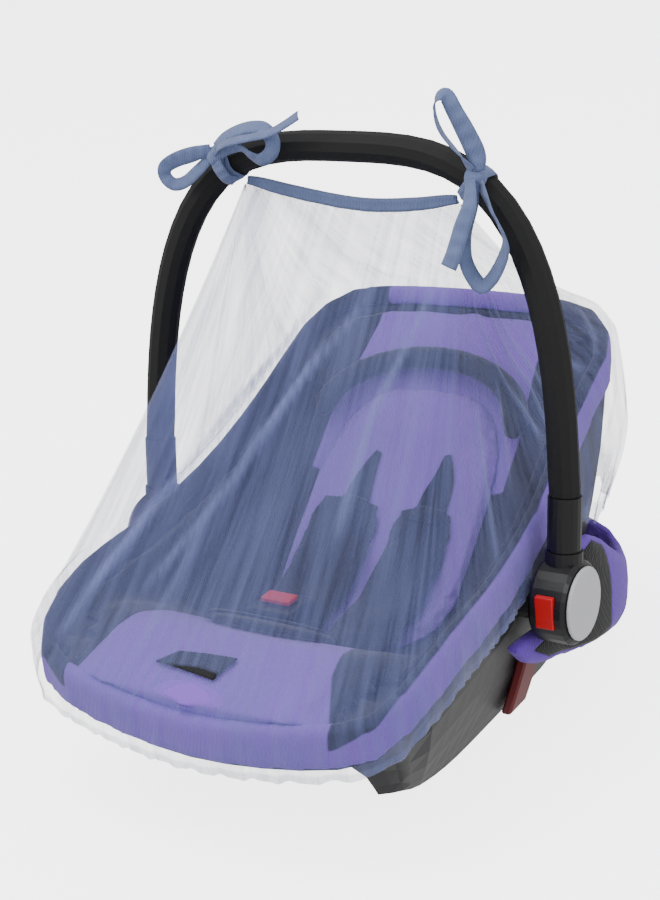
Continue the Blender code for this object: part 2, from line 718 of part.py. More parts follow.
def build_net():
    """Net draped from the ridge over the rim, gathered by the elastic in its hem."""
    # the rings start at the ridge's right end, so that they close along the ridge
    quarter = NET_STEPS // 4
    line = np.roll(rim_line(NET_STEPS), -quarter, axis=0)
    out = outward(line)
    shares = (np.arange(NET_STEPS) / NET_STEPS + 0.25) % 1.0
    edge_top = line + out * -0.003
    edge_top[:, 2] += NET_CLEARANCE
    left, right = RIDGE[0][0], RIDGE[-1][0]
    spread = np.clip(line[:, 0] / 0.17, -1.0, 1.0)
    start = ridge_point((left + right) / 2 + spread * (right - left) / 2)
    around = np.stack([np.where(np.abs(spread) < 1, 0.0, out[:, 0]), out[:, 1], out[:, 0] * 0], 1)
    around /= np.linalg.norm(around, axis=1)[:, None]
    start = start + around * RIDGE_HALF_WIDTH
    rings = []
    for k in range(NET_ROWS + 1):
        t = (k / NET_ROWS) ** 0.9
        ring = start + (edge_top - start) * t
        ring[:, 2] -= NET_SAG * 4 * t * (1 - t)
        for place, rise, breadth in TENSION_FOLDS:
            away = (shares - place + 0.5) % 1.0 - 0.5
            slack = math.sin(math.pi * t) ** 0.7 if 0 < k < NET_ROWS else 0.0
            lift = rise * slack * np.exp(-(away / breadth) ** 2)
            ring = ring + (out + (0, 0, 1)) * math.sqrt(0.5) * lift[:, None]
        rings.append(ring)
    along = line[:, 1]
    table = np.array(SKIRT)
    drop = np.interp(along, table[:, 0], table[:, 1])
    pull = np.interp(along, table[:, 0], table[:, 2])
    deep = np.clip((drop - 0.05) / 0.1, 0.0, 1.0)
    wave = (1 + np.sin(2 * math.pi * (GATHERS * shares + 0.35 * np.sin(4 * math.pi * shares)))) / 2
    for fall in (0.0, 0.35, 0.7, 0.93, 1.0):
        bulge = NET_CLEARANCE + SKIRT_BULGE * deep * math.sin(math.pi * min(fall * 1.1, 1.0))
        reach = bulge + wave * GATHER_DEPTH * fall - pull * max(fall - 0.5, 0.0) / 0.5 * fall
        ring = line + out * reach[:, None]
        ring[:, 2] = line[:, 2] - 0.002 - (drop - 0.002) * fall
        rings.append(ring)
    points, faces = loft(rings, True, False)
    net = make_object("net_cover", points, [face[::-1] for face in faces], finish["net"], 80, closed=False)
    wall = net.modifiers.new("thickness", "SOLIDIFY")
    wall.thickness = NET_THICKNESS
    wall.offset = -1.0


def build_tape():
    """Folded tape standing along the ridge of the net."""
    rows = smooth_curve(RIDGE, 28)
    run = tangents(rows)
    ups = np.tile((0.0, 0.0, 1.0), (len(rows), 1))
    widths = np.cross(ups, run)
    widths /= np.linalg.norm(widths, axis=1)[:, None]
    ups = np.cross(run, widths)
    sections = []
    for k in range(len(rows)):
        end = abs(2 * k / (len(rows) - 1) - 1)
        height = TAPE_HEIGHT * (1 - 0.35 * end ** 6)
        half = TAPE_THICKNESS / 2
        waist, middle, top = half * 0.8, GAP + height / 2, GAP + height
        sections.append(((-half, GAP), (half, GAP), (waist, middle),
                         (half, top), (-half, top), (-waist, middle)))
    points, faces = swept(rows, sections, widths, ups)
    make_object("top_binding", points, faces, finish["tape"])


def strip_shape(rows):
    """Points and faces of a flat strip of tape along hand-placed points."""
    table = smooth_curve(rows, 5 * len(rows) // 2)
    path = table[:, :3]
    run = tangents(path)
    front = np.array([0.0, -1.0, 0.0])
    facing = front - run * (run @ front)[:, None]
    facing /= np.linalg.norm(facing, axis=1)[:, None]
    flat = np.cross(run, facing)
    turn = np.radians(table[:, 4])[:, None]
    widths = flat * np.cos(turn) + facing * np.sin(turn)
    sides = np.cross(run, widths)
    sections = []
    for width in table[:, 3]:
        a, b = width / 2, TIE_THICKNESS / 2
        sections.append(((-a, -b), (a, -b), (a, b), (-a, b)))
    return swept(path, sections, widths, sides)


def build_tie(name, knot_side, strips):
    """A bow tied round the handle: the wrap, the knot on it and the strips that leave it."""
    dense = np.array([handle_point(k / 800) for k in range(801)])
    nearest = int(np.argmin(np.linalg.norm(dense - np.array(knot_side), axis=1)))
    centre = dense[nearest]
    along = dense[nearest + 3] - dense[nearest - 3]
    along /= np.linalg.norm(along)
    towards = np.array(knot_side) - centre
    towards -= along * (towards @ along)
    towards /= np.linalg.norm(towards)
    other = np.cross(along, towards)
    inner = BAR_RADIUS + WRAP_CLEARANCE
    outer = inner + TIE_THICKNESS
    knot_middle = centre + towards * (inner + 0.9 * KNOT_RADII[1])
    knot_rings = []
    for level in (-0.9, -0.45, 0.0, 0.45, 0.9):
        spread = math.sqrt(1 - level ** 2)
        ring = []
        for k in range(12):
            angle = 2 * math.pi * k / 12
            ring.append(knot_middle + along * KNOT_RADII[0] * level
                        + towards * KNOT_RADII[1] * spread * math.cos(angle)
                        + other * KNOT_RADII[2] * spread * math.sin(angle))
        knot_rings.append(np.array(ring))
    wrap_rings = []
    for k in range(24):
        angle = 2 * math.pi * k / 24
        direction = towards * math.cos(angle) + other * math.sin(angle)
        half = along * WRAP_WIDTH / 2
        wrap_rings.append(np.array([centre + direction * inner - half, centre + direction * outer - half,
                                    centre + direction * outer + half, centre + direction * inner + half]))
    shapes = [loft(knot_rings), loft(wrap_rings, False, False, True)]
    shapes += [strip_shape(rows) for rows in strips.values()]
    points, faces = [], []
    for shape_points, shape_faces in shapes:
        faces += [tuple(len(points) + index for index in face) for face in shape_faces]
        points += list(shape_points)
    tie = make_object(name, points, faces, finish["tape"])
    # the crossing strips become one skin, which then keeps only the faces that it needs
    skin = tie.modifiers.new("skin", "REMESH")
    skin.mode = "VOXEL"
    skin.voxel_size = TIE_VOXEL
    fewer = tie.modifiers.new("fewer", "DECIMATE")
    fewer.ratio = TIE_KEEP


def build_canopy():
    """Folded sun canopy lying round the head end, one padded roll of cloth."""
    near = list(CANOPY)
    far = [(-x, y, low, high) for x, y, low, high in near[:-1]]
    rows = smooth_curve(far + near[::-1], 40)
    path = np.stack([rows[:, 0], rows[:, 1], (rows[:, 2] + rows[:, 3]) / 2], 1)
    level = path * (1, 1, 0)
    run = tangents(level)
    widths = np.cross(run, (0, 0, 1))
    ups = np.tile((0.0, 0.0, 1.0), (len(path), 1))
    sections = []
    for row in rows:
        half_height = max((row[3] - row[2]) / 2, 0.003)
        sections.append(round_section(CANOPY_THICKNESS / 2, half_height, 10, 2.8))
    points, faces = swept(path, sections, widths, ups)
    make_object("folded_canopy", points, faces, finish["purple_fabric"])


def build_belt_guides():
    """Hooks for the car's belt, standing off the shell's sides."""
    start, end = GUIDE_START, GUIDE_START + GUIDE_LENGTH
    for name, side in (("left", -1), ("right", 1)):
        sections = []
        for z in np.linspace(GUIDE_LOW, GUIDE_HIGH, 7):
            inner = guide_wall((start + end) / 2, z) + GUIDE_CLEARANCE
            outer = inner + GUIDE_PROUD
            corners = ((inner, start), (outer, start), (outer, end), (inner, end))
            sections.append([(side * x, y, z) for x, y in corners])
        points = np.vstack(sections)
        faces = [tuple(range(4)), tuple(range(len(points) - 4, len(points)))]
        for k in range(len(sections) - 1):
            for j in range(4):
                low, after = 4 * k + j, 4 * k + (j + 1) % 4
                faces.append((low, after, after + 4, low + 4))
        guide = make_object("belt_guide_" + name, points, faces, finish["dark_red_plastic"])
        bevel(guide, 0.002, 1)


def guide_wall(along, height):
    """How far out the shell's side stands at a place on it."""
    lip_x = np.interp(along, rim_along, rim_width) - BAND_WALL - 2 * GAP
    lip_z = np.interp(along, rim_along, rim_height) - BAND_DEPTH
    fall = np.clip((lip_z - height) / (lip_z - FLOOR_Z), 0.0, 1.0)
    return lip_x + (BASE_HALF_WIDTH - lip_x) * fall ** SHELL_BELLY


def build_buckle():
    """Buckle with its red press, held up by the crotch strap."""
    x, y, z = BUCKLE_PLACE
    foot = float(floor_height(x, y)) + INSERT_CLEARANCE
    top = z - BUCKLE_SIZE[2] / 2 - GAP
    strap = box((x, y, (foot + top) / 2), (*CROTCH_STRAP_SIZE, top - foot))
    make_object("crotch_strap", *strap, finish["grey_fabric"])
    buckle = make_object("buckle", *box(BUCKLE_PLACE, BUCKLE_SIZE), finish["dark_plastic"])
    bevel(buckle, 0.005, 2)
    above = z + (BUCKLE_SIZE[2] + PRESS_SIZE[2]) / 2 + GAP
    press = make_object("buckle_press", *box((x, y, above), PRESS_SIZE), finish["red_plastic"])
    bevel(press, 0.001, 1)


def set_down():
    """Moves the whole seat so that its footprint's centre stands at the origin."""
    solids = [item for item in bpy.data.objects if not item.hide_render]
    graph = bpy.context.evaluated_depsgraph_get()
    corners = []
    for item in solids:
        shaped = item.evaluated_get(graph)
        corners += [shaped.matrix_world @ Vector(corner) for corner in shaped.bound_box]
    low = [min(corner[k] for corner in corners) for k in range(3)]
    high = [max(corner[k] for corner in corners) for k in range(3)]
    shift = Vector((-(low[0] + high[0]) / 2, -(low[1] + high[1]) / 2, -low[2]))
    for item in bpy.data.objects:
        item.location += shift


for old in list(bpy.data.objects):
    bpy.data.objects.remove(old, do_unlink=True)

finish = {
    "purple_fabric": make_material("purple_fabric", PURPLE, 0.85),
    "grey_fabric": make_material("grey_fabric", GREY_FABRIC, 0.9),
    "black_foam": make_material("black_foam", BLACK_FOAM, 0.6),
    "grey_plastic": make_material("grey_plastic", GREY_PLASTIC, 0.45),
    "dark_plastic": make_material("dark_plastic", DARK_PLASTIC, 0.4),
    "pale_plastic": make_material("pale_plastic", PALE_PLASTIC, 0.4),
    "red_plastic": make_material("red_plastic", RED_PLASTIC, 0.35),
    "dark_red_plastic": make_material("dark_red_plastic", DARK_RED_PLASTIC, 0.5),
    "tape": make_material("tape", TAPE_BLUE, 0.9),
    "net": make_material("net", NET_LILAC, 0.8),
}

rim = rim_line(RIM_STEPS)
rim_out = outward(rim)
half_rim = rim_line(400)[:201]
rim_along, rim_width, rim_height = half_rim[:, 1], half_rim[:, 0], half_rim[:, 2]
pan_line = smooth_curve(PAN, 120)
pan_along, pan_height = pan_line[:, 0], pan_line[:, 1]

build_rim_band()
build_shell()
build_liner()
build_seat_pads()
build_buckle()
build_handle()
build_hubs()
build_net()
build_tape()
build_tie("tie_right", TIE_RIGHT_SIDE, TIE_RIGHT_STRIPS)
build_tie("tie_left", TIE_LEFT_SIDE, TIE_LEFT_STRIPS)
build_canopy()
build_belt_guides()
set_down()
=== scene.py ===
"""Mesh insect cover tied to an infant carrier seat, dressed for a studio picture."""
import math

import bmesh
import bpy
import numpy as np
from mathutils import Matrix, Vector
from mathutils.bvhtree import BVHTree


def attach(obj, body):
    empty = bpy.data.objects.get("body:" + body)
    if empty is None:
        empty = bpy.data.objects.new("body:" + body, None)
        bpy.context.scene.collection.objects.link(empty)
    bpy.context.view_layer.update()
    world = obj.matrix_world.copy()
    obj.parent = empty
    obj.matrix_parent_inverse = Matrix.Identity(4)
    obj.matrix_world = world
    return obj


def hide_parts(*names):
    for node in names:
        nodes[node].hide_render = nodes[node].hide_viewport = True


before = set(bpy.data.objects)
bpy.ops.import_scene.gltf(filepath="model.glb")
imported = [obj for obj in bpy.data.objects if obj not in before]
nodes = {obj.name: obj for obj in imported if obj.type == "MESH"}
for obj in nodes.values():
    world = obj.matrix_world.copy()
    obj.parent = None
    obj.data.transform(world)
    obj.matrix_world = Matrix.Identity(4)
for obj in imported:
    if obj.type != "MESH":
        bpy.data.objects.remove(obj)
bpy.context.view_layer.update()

# Camera: a standing view from the foot end's right corner, a little tilted.
CAMERA_PLACE = Vector((0.8584, -1.2898, 0.8657))
CAMERA_AIM = Vector((-0.0092, -0.0128, 0.2591))
CAMERA_ROLL = math.radians(6.02)
CAMERA_LENS = 71.9

camera_data = bpy.data.cameras.new("camera")
camera_data.lens = CAMERA_LENS
camera_data.sensor_width = 36.0
camera = bpy.data.objects.new("camera", camera_data)
bpy.context.scene.collection.objects.link(camera)
facing = (CAMERA_AIM - CAMERA_PLACE).to_track_quat("-Z", "Y").to_matrix().to_4x4()
camera.matrix_world = Matrix.Translation(CAMERA_PLACE) @ facing @ Matrix.Rotation(-CAMERA_ROLL, 4, "Z")
bpy.context.scene.camera = camera


# Floor and light: a wide sheet of white paper under soft studio light, so that the net's
# edge still reads against it.
FLOOR_SIZE = 60.0
FLOOR_HEX = "#FAFAFB"
FLOOR_GLOW = 3.6
STUDIO_WHITE = 0.75
LIGHT_AIM = Vector((0.0, 0.0, 0.25))


def linear(text):
    """An sRGB hex colour as linear red, green, blue and alpha."""
    parts = [int(text[k:k + 2], 16) / 255 for k in (1, 3, 5)]
    return (*[c / 12.92 if c <= 0.04045 else ((c + 0.055) / 1.055) ** 2.4 for c in parts], 1.0)


def wire(tree, made, **links):
    """Links or sets a node's inputs by name, or by number where several share a name."""
    for key, value in links.items():
        socket = made.inputs[int(key[1:]) if key[0] == "i" and key[1:].isdigit() else key.replace("_", " ")]
        if isinstance(value, bpy.types.NodeSocket):
            tree.links.new(value, socket)
        else:
            socket.default_value = value
    return made


def add(tree, kind, settings=None, **links):
    """A shader node with its settings, and its inputs linked or set."""
    made = tree.nodes.new(kind)
    for key, value in (settings or {}).items():
        setattr(made, key, value)
    return wire(tree, made, **links)


def new_material(name):
    """An empty material and its shader."""
    made = bpy.data.materials.new(name)
    made.use_nodes = True
    tree = made.node_tree
    tree.nodes.clear()
    shader = add(tree, "ShaderNodeBsdfPrincipled")
    output = add(tree, "ShaderNodeOutputMaterial")
    tree.links.new(shader.outputs[0], output.inputs[0])
    return made, tree, shader


bpy.ops.object.select_all(action="DESELECT")
bpy.ops.mesh.primitive_plane_add(size=FLOOR_SIZE, location=(0, 0, 0))
floor = bpy.context.object
floor.name = "floor"
floor_paper, tree, shader = new_material("floor_paper")
wire(tree, shader, Base_Color=linear(FLOOR_HEX), Roughness=0.9,
     Emission_Color=linear("#FFFFFF"), Emission_Strength=FLOOR_GLOW)
floor.data.materials.append(floor_paper)
# the glow is for the picture's white ground alone and lights nothing from below
floor.visible_diffuse = False
floor.visible_glossy = False

world = bpy.data.worlds.new("studio")
world.use_nodes = True
wire(world.node_tree, world.node_tree.nodes["Background"], Color=linear("#FFFFFF"), Strength=STUDIO_WHITE)
bpy.context.scene.world = world

STUDIO_LIGHTS = (
    # name, place, width, power
    ("overhead", (-0.6, -0.6, 3.2), 2.4, 46.0),
    ("front_left", (-2.4, -2.2, 1.9), 1.4, 26.0),
    ("right", (2.6, -0.4, 1.6), 1.0, 16.0),
)
for name, place, width, power in STUDIO_LIGHTS:
    lamp = bpy.data.lights.new(name, "AREA")
    lamp.shape = "DISK"
    lamp.size = width
    lamp.energy = power
    holder = bpy.data.objects.new(name, lamp)
    bpy.context.scene.collection.objects.link(holder)
    holder.location = place
    holder.rotation_euler = (LIGHT_AIM - Vector(place)).to_track_quat("-Z", "Y").to_euler()


# Bucket: one polypropylene moulding with two runners and a hook for the belt on each
# side. It carries the liner, and its lip the padded band.
SHELL_HEX = "#232327"
HOOK_HEX = "#6A1218"


def dress(node, material):
    """Gives a CAD node its real finish."""
    nodes[node].data.materials.clear()
    nodes[node].data.materials.append(material)


def moulded(name, shade, roughness, grain_mm, grain_depth, wear=0.06):
    """Moulded plastic: a fine spark-eroded grain that breaks up the gloss a little."""
    made, tree, shader = new_material(name)
    place = add(tree, "ShaderNodeTexCoord").outputs["Object"]
    grain = add(tree, "ShaderNodeTexNoise", Vector=place, Scale=1000.0 / grain_mm, Detail=2.0)
    cloudy = add(tree, "ShaderNodeTexNoise", Vector=place, Scale=14.0, Detail=3.0)
    tone = add(tree, "ShaderNodeMapRange", Value=cloudy.outputs["Fac"],
               To_Min=1.0 - wear, To_Max=1.0 + wear)
    colour = add(tree, "ShaderNodeVectorMath", {"operation": "SCALE"}, i0=linear(shade)[:3],
                 Scale=tone.outputs["Result"])
    rough = add(tree, "ShaderNodeMapRange", Value=grain.outputs["Fac"],
                To_Min=roughness - 0.06, To_Max=roughness + 0.06)
    bump = add(tree, "ShaderNodeBump", Strength=0.35, Distance=grain_depth, Height=grain.outputs["Fac"])
    wire(tree, shader, Base_Color=colour.outputs[0], Roughness=rough.outputs[0], Normal=bump.outputs[0])
    return made


# textured polypropylene: a soft grey sheen along the shell's belly
shell_plastic = moulded("textured_polypropylene", SHELL_HEX, 0.42, 1.6, 0.0003)
hook_plastic = moulded("dark_red_nylon", HOOK_HEX, 0.45, 1.6, 0.0002)
dress("seat_shell", shell_plastic)
dress("belt_guide_left", hook_plastic)
dress("belt_guide_right", hook_plastic)


# Liner: quilted polyester over foam that fills the bucket. Its wings are charcoal, and a
# purple panel covers the middle of the head end and the whole foot end.
HINGE = np.array((0.0, -0.01281, 0.146))
CHARCOAL_HEX = "#1B1C24"
PURPLE_HEX = "#9568E0"
THREAD_MM = 2.2
SEAM_HALF_WIDTH = 0.0016
LINER_FOOT = np.array((
    # along, half width of the purple panel
    (-0.262, 0.137),
    (-0.212, 0.114),
    (-0.187, 0.108),
    (-0.100, 0.086),
))
FOOT_PANEL_END = -0.118
LINER_HEAD = np.array((
    # along, half width of the purple panel
    (0.150, 0.108),
    (0.216, 0.098),
    (0.266, 0.095),
))
HEAD_PANEL_START = 0.110


def cloth_weave(tree, place, thread_mm):
    """Crossing threads, drawn coarser than the real 0.4 mm so that they show."""
    scale = math.tau / 20 / (thread_mm / 1000)
    turn = add(tree, "ShaderNodeMapping", Vector=place, Rotation=(0.3, 0.2, 0.6))
    first = add(tree, "ShaderNodeTexWave", {"bands_direction": "X"}, Vector=turn.outputs[0],
                Scale=scale, Distortion=0.6, Detail=1.0)
    second = add(tree, "ShaderNodeTexWave", {"bands_direction": "Y"}, Vector=turn.outputs[0],
                 Scale=scale, Distortion=0.6, Detail=1.0)
    return add(tree, "ShaderNodeMath", {"operation": "ADD"}, i0=first.outputs["Fac"],
               i1=second.outputs["Fac"]).outputs[0]


def smooth_band(tree, value, low, high):
    """0 below low, 1 above high, with a soft step between."""
    return add(tree, "ShaderNodeMapRange", {"interpolation_type": "SMOOTHSTEP"}, Value=value,
               From_Min=low, From_Max=high).outputs["Result"]


def math_node(tree, operation, first, second):
    """One sum on two values."""
    return add(tree, "ShaderNodeMath", {"operation": operation}, i0=first, i1=second).outputs[0]


def clouded(tree, shade, noise, darker, brighter):
    """A shade that wanders between a darker and a brighter one with the noise."""
    colour = add(tree, "ShaderNodeMix", {"data_type": "RGBA"}, Factor=noise.outputs["Fac"])
    for socket, gain in (("A", darker), ("B", brighter)):
        colour.inputs[socket].default_value = (*[min(c * gain, 1.0) for c in linear(shade)[:3]], 1.0)
    return colour.outputs["Result"]


def woven(name, shade, roughness=0.85, beyond_seam=None):
    """Woven polyester: matte and faintly cloudy, with soft sheen where it turns away.

    Where a second colour is given, it lies beyond the seam, where seam_distance is above 0,
    and the seam itself is a fine dark groove.
    """
    made, tree, shader = new_material(name)
    place = add(tree, "ShaderNodeTexCoord").outputs["Object"]
    weave = cloth_weave(tree, place, THREAD_MM)
    cloudy = add(tree, "ShaderNodeTexNoise", Vector=place, Scale=22.0, Detail=4.0)
    result = clouded(tree, shade, cloudy, 0.86, 1.12)
    height = weave
    if beyond_seam is not None:
        distance = add(tree, "ShaderNodeAttribute", {"attribute_name": "seam_distance"}).outputs["Fac"]
        side = smooth_band(tree, distance, -0.0003, 0.0003)
        mixed = add(tree, "ShaderNodeMix", {"data_type": "RGBA"}, Factor=side)
        wire(tree, mixed, A=result, B=linear(beyond_seam))
        apart = math_node(tree, "ABSOLUTE", distance, 0.0)
        groove = smooth_band(tree, apart, 0.0, SEAM_HALF_WIDTH)
        dark = add(tree, "ShaderNodeMapRange", Value=groove, To_Min=0.45, To_Max=1.0)
        shaded = add(tree, "ShaderNodeVectorMath", {"operation": "SCALE"}, i0=mixed.outputs["Result"],
                     Scale=dark.outputs["Result"])
        result = shaded.outputs[0]
        height = math_node(tree, "ADD", weave, math_node(tree, "MULTIPLY", groove, 4.0))
    bump = add(tree, "ShaderNodeBump", Strength=0.4, Distance=0.0006, Height=height)
    wire(tree, shader, Base_Color=result, Normal=bump.outputs[0], Roughness=roughness,
         Sheen_Weight=0.25, Sheen_Roughness=0.4)
    return made


def liner_seam(x, y, z):
    """How far inside the purple panels a point of the lining lies, below 0 on the charcoal."""
    side = np.abs(x)
    foot = np.minimum(np.interp(y, LINER_FOOT[:, 0], LINER_FOOT[:, 1]) - side, FOOT_PANEL_END - y)
    head = np.minimum(np.interp(y, LINER_HEAD[:, 0], LINER_HEAD[:, 1]) - side, y - HEAD_PANEL_START)
    return np.maximum(foot, head)


def hub_points(piece):
    """A piece's points, measured from the middle of the handle's hinge axis."""
    return np.array([vert.co for vert in piece.data.vertices]) - HINGE


def put_points(piece, points):
    """Moves a piece's points to new places, measured from the hinge axis."""
    piece.data.vertices.foreach_set("co", (points + HINGE).ravel())
    piece.data.update()


def make_active(piece):
    """Selects one piece alone, for the operators that work on it."""
    bpy.ops.object.select_all(action="DESELECT")
    piece.select_set(True)
    bpy.context.view_layer.objects.active = piece


def set_seam(piece, distance):
    """Keeps each point's distance from the seam with the mesh."""
    points = hub_points(piece)
    layer = piece.data.attributes.new("seam_distance", "FLOAT", "POINT")
    layer.data.foreach_set("value", distance(*points.T).astype(np.float32))


def soft_copy(node, name, shrink=0.0015, voxel=0.0045, smooth=2, shape_first=None):
    """A closed copy of a soft CAD solid, evenly meshed and drawn in, ready to be filled."""
    made = nodes[node].copy()
    made.data = nodes[node].data.copy()
    made.name = name
    bpy.context.scene.collection.objects.link(made)
    made.parent = None
    made.matrix_world = nodes[node].matrix_world.copy()
    made.data.materials.clear()
    made.hide_render = False
    shape = bmesh.new()
    shape.from_mesh(made.data)
    bmesh.ops.remove_doubles(shape, verts=shape.verts, dist=0.00005)
    shape.transform(made.matrix_world)
    if shape_first is not None:
        shape_first(shape)
    shape.to_mesh(made.data)
    shape.free()
    made.matrix_world = Matrix.Identity(4)
    make_active(made)
    even = made.modifiers.new("even", "REMESH")
    even.mode = "VOXEL"
    even.voxel_size = voxel
    bpy.ops.object.modifier_apply(modifier="even")
    if smooth:
        relax = made.modifiers.new("relax", "SMOOTH")
        relax.iterations = smooth
        bpy.ops.object.modifier_apply(modifier="relax")
    if shrink:
        shape = bmesh.new()
        shape.from_mesh(made.data)
        shape.normal_update()
        moves = [vert.normal * -shrink for vert in shape.verts]
        for vert, move in zip(shape.verts, moves):
            vert.co += move
        shape.to_mesh(made.data)
        shape.free()
    return made


FILLING_STEPS = 20
# each piece to blow up, how far its points may move, and its points before filling
filled = []


def fill(piece, pressure, cap, stiffness=15.0):
    """Makes the piece's skin a cloth; all the pieces are blown up together further down."""
    cloth = piece.modifiers.new("filling", "CLOTH")
    settings = cloth.settings
    settings.quality = 5
    settings.mass = 0.3
    settings.tension_stiffness = stiffness
    settings.compression_stiffness = stiffness
    settings.bending_stiffness = 0.5
    settings.use_pressure = True
    settings.uniform_pressure_force = pressure
    settings.effector_weights.gravity = 0.0
    cloth.point_cache.frame_start = 1
    cloth.point_cache.frame_end = FILLING_STEPS
    filled.append((piece, cap, np.array([vert.co for vert in piece.data.vertices])))


def finish_soft(piece, node, material):
    """Gives a padded piece its material, hides the CAD node it stands for and puts the piece under the root
    body.
    """
    piece.data.materials.append(material)
    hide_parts(node)
    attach(piece, "root")


RIM = (
    # along, half width, height
    (-0.275, 0.000, -0.018),
    (-0.268, 0.105, -0.010),
    (-0.250, 0.172, 0.004),
    (-0.210, 0.194, 0.024),
    (-0.150, 0.200, 0.041),
    (-0.060, 0.196, 0.050),
    (0.030, 0.189, 0.070),
    (0.105, 0.181, 0.102),
    (0.170, 0.176, 0.136),
    (0.232, 0.172, 0.163),
    (0.275, 0.130, 0.182),
    (0.295, 0.000, 0.183),
)
FOOT_PROFILE = np.array((
    # inwards from the rim, height of the purple cushion
    (0.000, -0.026),
    (0.010, -0.015),
    (0.022, -0.006),
    (0.038, 0.003),
    (0.055, 0.011),
    (0.075, 0.0145),
    (0.090, 0.014),
    (0.103, 0.009),
    (0.118, 0.000),
    (0.135, -0.009),
    (0.152, -0.022),
    (0.168, -0.044),
))
FOOT_FULL = 0.118
FOOT_FADE = 0.046
FOOT_STRETCH = 0.014
FOOT_STRETCH_START = -0.205
FOOT_STRETCH_RUN = 0.035


def foot_lift(points, upward):
    """How far the purple foot cushion stands above the plain lining at each point."""
    table = np.array([row for row in RIM if row[0] < -0.1])
    side = np.abs(points[:, 0])
    inwards = points[:, 1] - np.interp(side, table[:, 1], table[:, 0])
    target = np.interp(inwards, FOOT_PROFILE[:, 0], FOOT_PROFILE[:, 1])
    fade = np.clip(1.0 - (side - FOOT_FULL) / FOOT_FADE, 0.0, 1.0)
    fade = fade * fade * (3.0 - 2.0 * fade) * np.clip(upward * 3.0, 0.0, 1.0)
    return (points[:, 1] < -0.09) * np.maximum(target - points[:, 2], 0.0) * fade


def thicken_foot(shape):
    """Gives the lining its full thickness at the foot end before it is meshed evenly."""
    shape.normal_update()
    points = np.array([vert.co for vert in shape.verts]) - HINGE
    lift = foot_lift(points, np.array([vert.normal.z for vert in shape.verts]))
    for vert, rise in zip(shape.verts, lift):
        vert.co.z += rise


def stuff_foot_end():
    """Runs the foot cushion out over the sleeve and up to its full height."""
    points = hub_points(liner)
    upward = np.array([vert.normal.z for vert in liner.data.vertices])
    stretch = np.clip((FOOT_STRETCH_START - points[:, 1]) / FOOT_STRETCH_RUN, 0.0, 1.0)
    points[:, 1] -= FOOT_STRETCH * stretch * np.clip(upward, 0.0, 1.0)
    points[:, 2] += foot_lift(points, upward)
    put_points(liner, points)


# charcoal polyester with purple panels: matte, dark and soft under the net
liner_cloth = woven("charcoal_and_purple_polyester", CHARCOAL_HEX, beyond_seam=PURPLE_HEX)
liner = soft_copy("seat_liner", "liner_cushion", shrink=0.0012, voxel=0.006, shape_first=thicken_foot)
fill(liner, 2.0, 0.004)
finish_soft(liner, "seat_liner", liner_cloth)


# Rim band: a padded sleeve over the bucket's lip, purple outside and at both ends, and
# charcoal on top along the wings.
BAND_SEAM = np.array((
    # along, height of the seam between the purple outside and the charcoal top
    (-0.262, -0.026),
    (-0.251, -0.009),
    (-0.225, 0.013),
    (-0.187, 0.029),
    (-0.145, 0.040),
    (-0.091, 0.047),
    (-0.009, 0.059),
    (0.031, 0.067),
    (0.154, 0.121),
    (0.198, 0.142),
    (0.250, 0.165),
))
BAND_SEAM_INSET = 0.006
BAND_FOOT_HALF_WIDTH = 0.137
BAND_HEAD_HALF_WIDTH = 0.096


def smooth_curve(points, count, closed=False):
    """Evenly spaced points along a smooth curve through the given ones."""
    rows = np.array(points, float)
    if closed:
        padded = np.vstack([rows[-1:], rows, rows[:2]])
    else:
        padded = np.vstack([2 * rows[0] - rows[1], rows, 2 * rows[-1] - rows[-2]])
    steps = np.linspace(0.0, 1.0, 24, endpoint=False)[:, None]
    dense = []
    for before, start, end, after in zip(padded, padded[1:], padded[2:], padded[3:]):
        tangent_in = (end - before) / 2
        tangent_out = (after - start) / 2
        cubic = 2 * start - 2 * end + tangent_in + tangent_out
        square = 3 * end - 3 * start - 2 * tangent_in - tangent_out
        dense.append(start + steps * tangent_in + steps ** 2 * square + steps ** 3 * cubic)
    dense.append(rows[:1] if closed else rows[-1:])
    dense = np.vstack(dense)
    lengths = np.linalg.norm(np.diff(dense[:, :3], axis=0), axis=1)
    travelled = np.concatenate([[0.0], np.cumsum(lengths)])
    wanted = np.linspace(0.0, travelled[-1], count + 1 if closed else count)
    if closed:
        wanted = wanted[:-1]
    return np.stack([np.interp(wanted, travelled, dense[:, k]) for k in range(rows.shape[1])], 1)


def rim_line(count):
    """The seat's rim as a closed line from the foot end along +X to the head end and back."""
    near = [(width, along, height) for along, width, height in RIM]
    far = [(-x, y, z) for x, y, z in near[1:-1]]
    line = smooth_curve(near + far[::-1], count, closed=True)
    mirrored = np.roll(line[::-1], 1, axis=0) * (-1, 1, 1)
    return (line + mirrored) / 2


def outward(line):
    """Level directions that point away from the seat at each point of the rim."""
    run = np.roll(line, -1, axis=0) - np.roll(line, 1, axis=0)
    side = np.stack([run[:, 1], -run[:, 0], np.zeros(len(run))], 1)
    return side / np.linalg.norm(side, axis=1)[:, None]


def band_seam(x, y, z):
    """How far on the purple side of its seam a point of the sleeve lies."""
    rim = rim_line(400)
    out = outward(rim)
    points = np.stack([x, y], 1)
    nearest = [int(np.argmin(((rim[:, :2] - point) ** 2).sum(1))) for point in points]
    past = ((points - rim[nearest, :2]) * out[nearest, :2]).sum(1)
    outside = np.interp(y, BAND_SEAM[:, 0], BAND_SEAM[:, 1]) - z
    outside = np.minimum(outside, past + BAND_SEAM_INSET)
    side = np.abs(x)
    foot = np.minimum(BAND_FOOT_HALF_WIDTH - side, -0.15 - y)
    head = np.minimum(BAND_HEAD_HALF_WIDTH - side, y - 0.15)
    return np.maximum(outside, np.maximum(foot, head))


